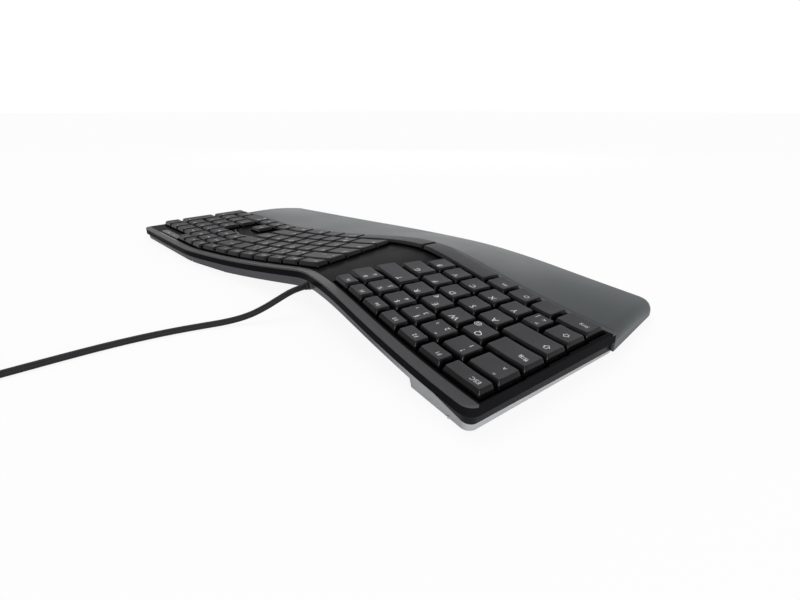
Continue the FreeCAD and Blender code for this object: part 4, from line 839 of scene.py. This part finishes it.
paint_end_wall(SHELL_GREY)
PAD_SKIN = skin("pad_skin", (0.056, 0.064, 0.067), 0.38)
WINDOW_BLACK = plastic("smoked_window", (0.016, 0.016, 0.017), 0.25, gloss=0.12, grain_depth=0.00001)
FOOT_RUBBER = rubber("foot_rubber", (0.03, 0.03, 0.03), 0.75)
CABLE_RUBBER = rubber("cable_rubber", (0.016, 0.016, 0.018), 0.5)
SILICONE = rubber("silicone", (0.5, 0.5, 0.52), 0.55)
STEEL = metal("rolled_steel", (0.55, 0.55, 0.57), 0.35)
SCREW_STEEL = metal("screw_steel", (0.42, 0.42, 0.44), 0.3, brushed=False)
PLUG_METAL = metal("plug_metal", (0.7, 0.7, 0.72), 0.22)
BOARD_GREEN = circuit("board_green", (0.02, 0.12, 0.05), (0.25, 0.2, 0.06))
MEMBRANE_FILM = circuit("membrane_film", (0.55, 0.6, 0.58), (0.2, 0.2, 0.22))
PRINT_WHITE = plastic("print_white", (0.75, 0.75, 0.76), 0.55, spread=0.04)
LAMP_CLEAR = plastic("lamp_lens", (0.35, 0.36, 0.36), 0.2, grain_depth=0.00001)


# CAD nodes that are carried over
CARRIED = {
    "top_case": CASE_BLACK, "bottom_shell": SHELL_GREY, "rear_trim_strip": STRIP_GREY,
    "front_trim_strip": STRIP_GREY, "indicator_window": WINDOW_BLACK, "dome_mat": SILICONE,
    "membrane_sheet": MEMBRANE_FILM, "steel_back_plate": STEEL, "palm_rest_base": CASE_BLACK,
    "housing_screws": SCREW_STEEL, "rubber_feet": FOOT_RUBBER, "controller_board": BOARD_GREEN,
    "cable_tie": CASE_BLACK, "plug_grip": CABLE_RUBBER, "plug_contact": PLUG_METAL,
}
for node_name, material in CARRIED.items():
    node = NODES[node_name]
    node.data.materials.clear()
    node.data.materials.append(material)


# Keys
TOP_FACING = 0.8


def darken_walls(piece):
    """Gives the sides, hollows and stems of caps a far darker colour than the tops: painted shade, with a
    glossier finish.
    """
    piece.data.materials.append(KEY_WALL_PAINTED_SHADE)
    for face in piece.data.polygons:
        if face.normal.z < TOP_FACING:
            face.material_index = 1


grouped = {name: node for node, names in GROUPS.items() for name in names.split()}
caps = {}
prints = {}
for key_name, key_cell in CELLS.items():
    node_name = grouped.get(key_name, "key_" + key_name)
    cap, half_width, key_matrix = cap_shape(key_cell)
    marks = print_on_cap(key_name, key_cell, half_width)
    cap.move(key_matrix)
    marks.move(key_matrix)
    caps.setdefault(node_name, Shape()).join(cap)
    prints.setdefault(node_name, Shape()).join(marks)
caps["space_bar_left"] = bar_shape(left_bar_rails())
caps["space_bar_right"] = bar_shape(right_bar_rails())
for node_name, shape in caps.items():
    piece = mesh_object(node_name + "_caps", shape, KEY_BLACK)
    darken_walls(piece)
    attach(piece, node_name)
    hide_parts(node_name)
for node_name, shape in prints.items():
    if shape.faces:
        piece = mesh_object(node_name + "_print", shape, PRINT_WHITE, False)
        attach(piece, node_name)


# Status lights, a thin line along the indicator window and a painted highlight line on the bezel
CASE_TOPS = ("top_case", "rear_trim_strip", "indicator_window")
RAY_START = 0.1
LAMP_PLACES = ((178.0, 95.5), (194.0, 95.5))
LAMP_RADIUS = 1.1
LENS_PROFILE = tuple((lift, LAMP_RADIUS - inset)
                     for lift, inset in ((0.0, 0.0), (0.1, 0.05), (0.2, 0.3), (0.26, 0.7)))
LENS_STEPS = 24
WINDOW_LINE = ((154.0, 101.5), (203.0, 101.5))
WINDOW_LINE_STEPS = 16
# Curve on the bezel above the arrow keys: a painted highlight line, laid as a light strip on the case
BEZEL_HIGHLIGHT_X = (104.0, 158.0)
BEZEL_HIGHLIGHT_Y = 44.5
BEZEL_HIGHLIGHT_SAG = 6.5
BEZEL_HIGHLIGHT_STEPS = 24
LINE_WIDTH = 0.45
LINE_LIFT = 0.03


def surface_height(x, y):
    """Height of the top of the case above a place of the plan."""
    highest = 0.0
    for name in CASE_TOPS:
        node = NODES[name]
        turned_back = node.matrix_world.inverted()
        origin = turned_back @ Vector((x * MM, y * MM, RAY_START))
        hit, place, _, _ = node.ray_cast(origin, turned_back.to_3x3() @ Vector((0.0, 0.0, -1.0)))
        if hit:
            highest = max(highest, (node.matrix_world @ place).z / MM)
    return highest


def printed_line(shape, line):
    """Thin strip along a line of plan points, laid on the case."""
    sides = []
    for index, point in enumerate(line):
        aside = left_of_run(line, index) * LINE_WIDTH / 2.0
        z = surface_height(point.x, point.y) + LINE_LIFT
        sides.append(shape.add_points([(*(point - aside), z), (*(point + aside), z)]))
    for low, high in zip(sides, sides[1:]):
        shape.faces.append((low[0], high[0], high[1], low[1]))


def left_of_run(line, index):
    """Direction square to a line at one of its points, on its left."""
    before = line[max(index - 1, 0)]
    after = line[min(index + 1, len(line) - 1)]
    run = (after - before).normalized()
    return Vector((-run.y, run.x))


def lamp_lens(shape, x, y):
    """Low dome of a status light."""
    z = surface_height(x, y)
    rings = shape.turn(LENS_PROFILE, LENS_STEPS, lambda lift, a, b: (x + a, y + b, z + lift))
    shape.faces.append(tuple(rings[-1]))


lenses = Shape()
for lamp_x, lamp_y in LAMP_PLACES:
    lamp_lens(lenses, lamp_x, lamp_y)
lens_piece = mesh_object("status_lenses", lenses, LAMP_CLEAR)
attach(lens_piece, HOUSING)

lines = Shape()
line_start, line_end = (Vector(place) for place in WINDOW_LINE)
printed_line(lines, [line_start.lerp(line_end, share) for share in shares(WINDOW_LINE_STEPS)])
# Painted highlight along the bezel
bezel_highlight = []
for share in shares(BEZEL_HIGHLIGHT_STEPS):
    line_x = BEZEL_HIGHLIGHT_X[0] + (BEZEL_HIGHLIGHT_X[1] - BEZEL_HIGHLIGHT_X[0]) * share
    bezel_highlight.append(Vector((line_x, BEZEL_HIGHLIGHT_Y - BEZEL_HIGHLIGHT_SAG * (2.0 * share - 1.0) ** 2)))
printed_line(lines, bezel_highlight)
line_piece = mesh_object("case_lines", lines, LAMP_CLEAR, False)
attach(line_piece, HOUSING)


# Palm rest pad: a grid between its rear line and its rounded front outline
PALM_MARGIN = 91.5
LEFT_ROW_REACH = 120.0
BEND_SHARE = 0.88
PALM_TURN_RADIUS = 70.0
BLOCK_BEND_RADIUS = 150.0
PALM_GAP = 0.5
LEFT_MARGIN = 34.8
LEFT_SIDE_Y = -6.0
RIGHT_SIDE_Y = -14.7
FRONT_APEX = (-45.0, -123.4)
FRONT_APEX_RADIUS = 600.0
FRONT_CORNER_Y = -84.0
FRONT_LEFT_DRAW = 5.5
FRONT_RIGHT_DRAW = 20.0
FRONT_RADIUS = 14.0
PALM_REAR_LEVEL = 4.5
PALM_FRONT_HEIGHT = 11.0
PALM_CROWN = 2.4
PAD_EDGE = 6.0
REAR_EDGE = 1.0
HOLLOW_EDGE = 2.0
PAD_BOTTOM = 2.7
PAD_THICKNESS = 7.0
PAD_SIDE = 3.0
FRONT_FOLLOW = 0.12
GRID_SPACING = 5.0
ACROSS_SHARES = (0.0, 0.006, 0.016, 0.04, 0.09, 0.17, 0.27, 0.38, 0.49, 0.60, 0.70, 0.79, 0.86,
                 0.91, 0.945, 0.965, 0.98, 0.99, 0.996, 1.0)


def line_meeting(first, second):
    """Where two lines cross, each given as x, y and angle."""
    slope1 = math.tan(first[2])
    slope2 = math.tan(second[2])
    x = (second[1] - first[1] + slope1 * first[0] - slope2 * second[0]) / (slope1 - slope2)
    return x, first[1] + slope1 * (x - first[0])


def resampled(line, spacing):
    """The same line with more points on its straight runs."""
    dense = []
    for start, end in zip(line, line[1:]):
        steps = max(1, int((end - start).length / spacing))
        dense += [start.lerp(end, share) for share in shares(steps)[:-1]]
    return dense + [line[-1]]


def palm_line():
    """Rear line of the palm rest, which follows the rows."""
    start = left_point(-LEFT_MARGIN, -PALM_MARGIN)
    near = left_point(LEFT_ROW_REACH, -PALM_MARGIN)
    right = right_point(0.0, -PALM_MARGIN)
    level = block_point(0.0, -PALM_MARGIN)
    bend_radius = BEND_SHARE * (BEND_LENGTH / math.radians(LEFT_BEND) - PALM_MARGIN)
    return rounded_line([
        (LEFT_END, start[1], 0.0),
        (*line_meeting(start, near), bend_radius),
        (*line_meeting(near, right), PALM_TURN_RADIUS),
        (*line_meeting(right, level), BLOCK_BEND_RADIUS),
        (RIGHT_END, level[1], 0.0),
    ])


def y_on(line, x):
    """Y of a line that runs from left to right."""
    for start, end in zip(line, line[1:]):
        if x <= end.x:
            break
    return start.y + (end.y - start.y) * (x - start.x) / (end.x - start.x)


def front_outline(inset):
    """Front of the palm rest, from its left side round both corners to its right side."""
    line = rounded_line([
        (LEFT_END, LEFT_SIDE_Y, 0.0),
        (LEFT_END + FRONT_LEFT_DRAW, FRONT_CORNER_Y, FRONT_RADIUS),
        (*FRONT_APEX, FRONT_APEX_RADIUS),
        (RIGHT_END - FRONT_RIGHT_DRAW, FRONT_CORNER_Y, FRONT_RADIUS),
        (RIGHT_END, RIGHT_SIDE_Y, 0.0),
    ])
    return [point + left_of_run(line, index) * inset for index, point in enumerate(line)]


def distance_to(line, point):
    """Shortest distance from a point to a line of points."""
    distances = []
    for start, end in zip(line, line[1:]):
        run = end - start
        share = max(0.0, min(1.0, (point - start).dot(run) / run.length_squared))
        distances.append((point - start - run * share).length)
    return min(distances)


def edge_drop(distance, edge):
    """How far a rounded edge lies below the level, at a distance from the side."""
    if distance >= edge:
        return 0.0
    return edge - math.sqrt(max(edge ** 2 - (edge - distance) ** 2, 0.0))


def pad_grid(inset, drop, edge, rear_edge):
    """Rows of points of the pad's skin, each row from the rear line to the front outline."""
    rear_line = palm_line()
    outline = front_outline(inset)
    front = resampled(outline[1:-1], GRID_SPACING)
    first_x = front[0].x
    last_x = front[-1].x
    rows = []
    for point in front:
        share = (point.x - first_x) / (last_x - first_x)
        rear_x = LEFT_END + inset + (RIGHT_END - LEFT_END - 2.0 * inset) * share
        rear = Vector((rear_x, y_on(rear_line, rear_x) - PALM_GAP))
        rear_z = crown(rear_x) - PALM_REAR_LEVEL - drop
        front_z = PALM_FRONT_HEIGHT - drop + FRONT_FOLLOW * (crown(rear_x) - crown(RIGHT_END))
        row = []
        for across in ACROSS_SHARES:
            here = rear.lerp(point, across)
            z = rear_z + (front_z - rear_z) * across + PALM_CROWN * math.sin(math.pi * across)
            z -= edge_drop(distance_to(outline, here), edge)
            z -= edge_drop((here - rear).length, rear_edge)
            row.append((here.x, here.y, max(z, PAD_BOTTOM)))
        rows.append(row)
    return rows


def add_grid_faces(shape, grid, upward):
    for left, right in zip(grid, grid[1:]):
        for low in range(len(left) - 1):
            quad = (left[low], left[low + 1], right[low + 1], right[low])
            shape.faces.append(quad if upward else (quad[0], quad[3], quad[2], quad[1]))


def grid_rim(grid):
    return grid[0][:-1] + [row[-1] for row in grid] + list(reversed(grid[-1][:-1]))


def pad_shape():
    """Skin of the pad over its hollow, closed at the rim, along the rear and at both ends."""
    shape = Shape()
    outer = [shape.add_points(row) for row in pad_grid(0.0, 0.0, PAD_EDGE, REAR_EDGE)]
    inner = [shape.add_points(row) for row in pad_grid(PAD_SIDE, PAD_THICKNESS, HOLLOW_EDGE, 0.0)]
    add_grid_faces(shape, outer, True)
    add_grid_faces(shape, inner, False)
    outer_rim = grid_rim(outer)
    inner_rim = grid_rim(inner)
    outer_low, inner_low = (shape.add_points([(*shape.points[i].xy, PAD_BOTTOM) for i in rim])
                            for rim in (outer_rim, inner_rim))
    for high, low in ((outer_rim, outer_low), (outer_low, inner_low), (inner_low, inner_rim)):
        for index in range(len(high) - 1):
            shape.faces.append((high[index], low[index], low[index + 1], high[index + 1]))
    outer_rear = [row[0] for row in outer]
    inner_rear = [row[0] for row in inner]
    for index in range(len(outer_rear) - 1):
        shape.faces.append((outer_rear[index], outer_rear[index + 1],
                            inner_rear[index + 1], inner_rear[index]))
    for side in (0, -1):
        corners = [outer_rear[side], outer_low[side], inner_low[side], inner_rear[side]]
        shape.faces.append(tuple(corners if side else reversed(corners)))
    return shape


pad = mesh_object("palm_pad_skin", pad_shape(), PAD_SKIN)
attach(pad, HOUSING)
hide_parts("palm_rest_pad")


# Cable gland: a turned sleeve with a collar
GLAND = (-57.0, 81.8, 17.9)
GLAND_PROFILE = ((-2.6, 2.1), (-2.6, 2.85), (0.0, 2.85), (0.15, 2.9), (0.9, 2.9), (1.1, 2.72), (1.9, 2.68),
                 (2.1, 2.84), (2.9, 2.8), (3.1, 2.62), (3.9, 2.58), (4.1, 2.74), (4.9, 2.7), (5.1, 2.52),
                 (5.7, 2.48), (6.0, 2.3), (6.0, 2.16))
GLAND_RING_PROFILE = ((0.15, 2.6), (0.15, 3.2), (0.35, 3.35), (2.6, 3.25), (2.8, 3.1), (2.8, 2.6))
TURN_STEPS = 40


def turned(name, profile, material):
    """Piece turned about the gland's axis, from a profile of places and radii."""
    x, y, z = GLAND
    shape = Shape()
    shape.turn(profile, TURN_STEPS, lambda place, a, b: (x + b, y + place, z + a))
    return mesh_object(name, shape, material)


gland = turned("cable_sleeve", GLAND_PROFILE, CABLE_RUBBER)
gland_ring = turned("cable_sleeve_ring", GLAND_RING_PROFILE, STRIP_GREY)
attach(gland_ring, HOUSING)
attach(gland, HOUSING)
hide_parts("cable_gland")


# Cable: the route of the part's source, its coil and the short lead to the plug, in metres
CABLE_RADIUS = 0.00215
CABLE_STEPS = 6
CABLE_ROUNDNESS = 5
CABLE_ROUTE = (
    (-0.0570, 0.0878, 0.0179),
    (-0.0570, 0.0960, 0.0179),
    (-0.0562, 0.1065, 0.0146),
    (-0.0536, 0.1170, 0.0098),
    (-0.0490, 0.1280, 0.0052),
    (-0.0426, 0.1410, 0.0027),
    (-0.0350, 0.1585, 0.0022),
    (-0.0285, 0.1810, 0.0022),
    (-0.0240, 0.2080, 0.0022),
    (-0.0220, 0.2360, 0.0022),
    (-0.0212, 0.2600, 0.00235),
    (-0.0210, 0.2790, 0.0029),
)
PLUG_ROUTE = (
    (-0.0210, 0.3120, 0.00795),
    (-0.0232, 0.3230, 0.0070),
    (-0.0280, 0.3345, 0.0055),
    (-0.0325, 0.3465, 0.0044),
    (-0.0340, 0.3580, 0.0041),
    (-0.0340, 0.3660, 0.0041),
)
COIL_PITCH = 0.0049
COIL_TURNS = 5
COIL_START_X = -0.021
COIL_Y = 0.300
COIL_LOW = 0.00305
COIL_RADIUS = 0.0235
COIL_X = COIL_START_X + COIL_RADIUS + COIL_PITCH * COIL_TURNS / 2.0
COIL_REACH = COIL_X - COIL_START_X
HALF_TURN_POINTS = 9


def coil_stops():
    """Where the coil's half turns meet: in over one layer, up half a turn, out over the next."""
    halves = 2 * COIL_TURNS
    stops = []
    for step in range(2 * halves + 1):
        if step <= halves:
            turns_in = (step + 1) // 2
        elif step % 2 == 1:
            turns_in = halves + 1 - (step - 1) // 2
        else:
            turns_in = halves - step // 2
        side = -1.0 if step % 2 == 0 else 1.0
        z = COIL_LOW if step <= halves else COIL_LOW + COIL_PITCH
        stops.append(Vector((COIL_X + side * (COIL_REACH - COIL_PITCH * turns_in), COIL_Y, z)))
    return stops


def coil_route():
    """Control points of the coil, a little outside its line, as a spline's are."""
    points = []
    stops = coil_stops()
    outside = 1.0 / math.cos(math.pi / (2.0 * HALF_TURN_POINTS))
    for start, end in zip(stops, stops[1:]):
        middle = (start + end) / 2.0
        radius = (end - start).xy.length / 2.0 * outside
        turn_from = math.pi if start.x < end.x else 0.0
        for index in range(HALF_TURN_POINTS):
            share = (index + 0.5) / HALF_TURN_POINTS
            phi = turn_from - math.pi * share
            points.append((middle.x + radius * math.cos(phi), middle.y + radius * math.sin(phi),
                           start.z + (end.z - start.z) * share))
    return points


def spline_object(name, points, radius, material):
    """Round cable along a NURBS spline."""
    curve = bpy.data.curves.new(name, "CURVE")
    curve.dimensions = "3D"
    curve.resolution_u = CABLE_STEPS
    curve.bevel_depth = radius
    curve.bevel_resolution = CABLE_ROUNDNESS
    curve.use_fill_caps = True
    spline = curve.splines.new("NURBS")
    spline.points.add(len(points) - 1)
    for control, point in zip(spline.points, points):
        control.co = (*point, 1.0)
    spline.order_u = 3
    spline.use_endpoint_u = True
    curve.materials.append(material)
    piece = bpy.data.objects.new(name, curve)
    bpy.context.scene.collection.objects.link(piece)
    return piece


cable_points = [*CABLE_ROUTE, *coil_route(), *PLUG_ROUTE]
cable = spline_object("cable", cable_points, CABLE_RADIUS, CABLE_RUBBER)
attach(cable, HOUSING)
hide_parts("usb_cable", "cable_coil", "plug_lead")
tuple(CABLE_ROUTE[0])


# Stage: floor, lamps, camera
WHITE = (1.0, 1.0, 1.0, 1.0)
PALE = (0.95, 0.95, 0.95, 1.0)
FLOOR_WHITE = 0.9
FLOOR_REACH = 20000.0
WORLD_LIGHT = 0.42
OBJECT_PLACE = (0.0, 0.0, 0.0)
SUN_STRENGTH = 1.1
SUN_SPREAD = 40.0
# Camera as solved from the photograph: place in metres, angles in degrees, focal length in its pixels
CAMERA_PLACE = (-0.325, 0.2495, 0.1345)
CAMERA_YAW = 46.405
CAMERA_PITCH = 22.53
FOCAL_PIXELS = 461.7
PHOTO_WIDTH = 800.0
SENSOR = 36.0
NEAREST_SEEN = 0.01


def seen_by_camera(tree):
    """1 for rays from the camera and for reflected or refracted ones, 0 for what lights the object."""
    path = tree.nodes.new("ShaderNodeLightPath").outputs
    either = add_node(tree, "Math", {0: path["Is Camera Ray"], 1: path["Is Glossy Ray"]}, "MAXIMUM")
    either_or_third = {0: either.outputs["Value"], 1: path["Is Transmission Ray"]}
    return add_node(tree, "Math", either_or_third, "MAXIMUM").outputs["Value"]


def floor_material():
    """Pale floor that keeps the object's shadow and runs into the white behind it."""
    material, tree, shader, _ = node_tree("pale_floor")
    set_inputs(tree, shader, {"Base Color": PALE, "Roughness": 0.9, "Specular IOR Level": 0.1})
    white = add_node(tree, "Emission", {"Color": WHITE})
    share = add_node(tree, "Math", {0: seen_by_camera(tree), 1: FLOOR_WHITE}, "MULTIPLY")
    mix = add_node(tree, "MixShader", {0: share.outputs["Value"], 1: shader.outputs["BSDF"],
                                       2: white.outputs["Emission"]})
    tree.links.new(mix.outputs["Shader"], tree.nodes["Material Output"].inputs["Surface"])
    return material


def aimed(data, name, place, target):
    """Lamp or camera at a place, turned to a target."""
    holder = bpy.data.objects.new(name, data)
    holder.location = place
    holder.rotation_euler = (Vector(target) - Vector(place)).to_track_quat("-Z", "Y").to_euler()
    bpy.context.scene.collection.objects.link(holder)
    return holder


def panel(name, place, target, wide, high, watts):
    light = bpy.data.lights.new(name, "AREA")
    light.shape = "RECTANGLE"
    light.size = wide
    light.size_y = high
    light.energy = watts
    aimed(light, name, place, target)


floor_form = Shape()
floor_ring = [(-FLOOR_REACH, -FLOOR_REACH, 0.0), (FLOOR_REACH, -FLOOR_REACH, 0.0),
              (FLOOR_REACH, FLOOR_REACH, 0.0), (-FLOOR_REACH, FLOOR_REACH, 0.0)]
floor_form.faces.append(tuple(floor_form.add_points(floor_ring)))
floor = mesh_object("floor", floor_form, floor_material(), False)

sun = bpy.data.lights.new("soft_sun", "SUN")
sun.energy = SUN_STRENGTH
sun.angle = math.radians(SUN_SPREAD)
aimed(sun, "soft_sun", (0.5, -0.1, 1.3), OBJECT_PLACE)
panel("far_panel", (0.85, -0.9, 0.38), OBJECT_PLACE, wide=1.2, high=0.3, watts=2.0)
panel("edge_panel", (-1.24, 0.6, 0.22), (-0.18, 0.05, 0.02), wide=0.25, high=0.44, watts=9.0)

world = bpy.data.worlds.new("studio")
world.use_nodes = True
world_tree = world.node_tree
level = add_node(world_tree, "MapRange", {"Value": seen_by_camera(world_tree), "To Min": WORLD_LIGHT,
                                          "To Max": 1.0})
set_inputs(world_tree, world_tree.nodes["Background"], {"Color": WHITE, "Strength": level.outputs["Result"]})
bpy.context.scene.world = world

camera_data = bpy.data.cameras.new("camera")
camera_data.sensor_width = SENSOR
camera_data.lens = FOCAL_PIXELS / PHOTO_WIDTH * SENSOR
camera_data.clip_start = NEAREST_SEEN
yaw = math.radians(CAMERA_YAW)
pitch = math.radians(CAMERA_PITCH)
forward = Vector((math.sin(yaw) * math.cos(pitch), -math.cos(yaw) * math.cos(pitch), -math.sin(pitch)))
camera = aimed(camera_data, "camera", CAMERA_PLACE, Vector(CAMERA_PLACE) + forward)
bpy.context.scene.camera = camera
bpy.context.scene.view_settings.view_transform = "Standard"
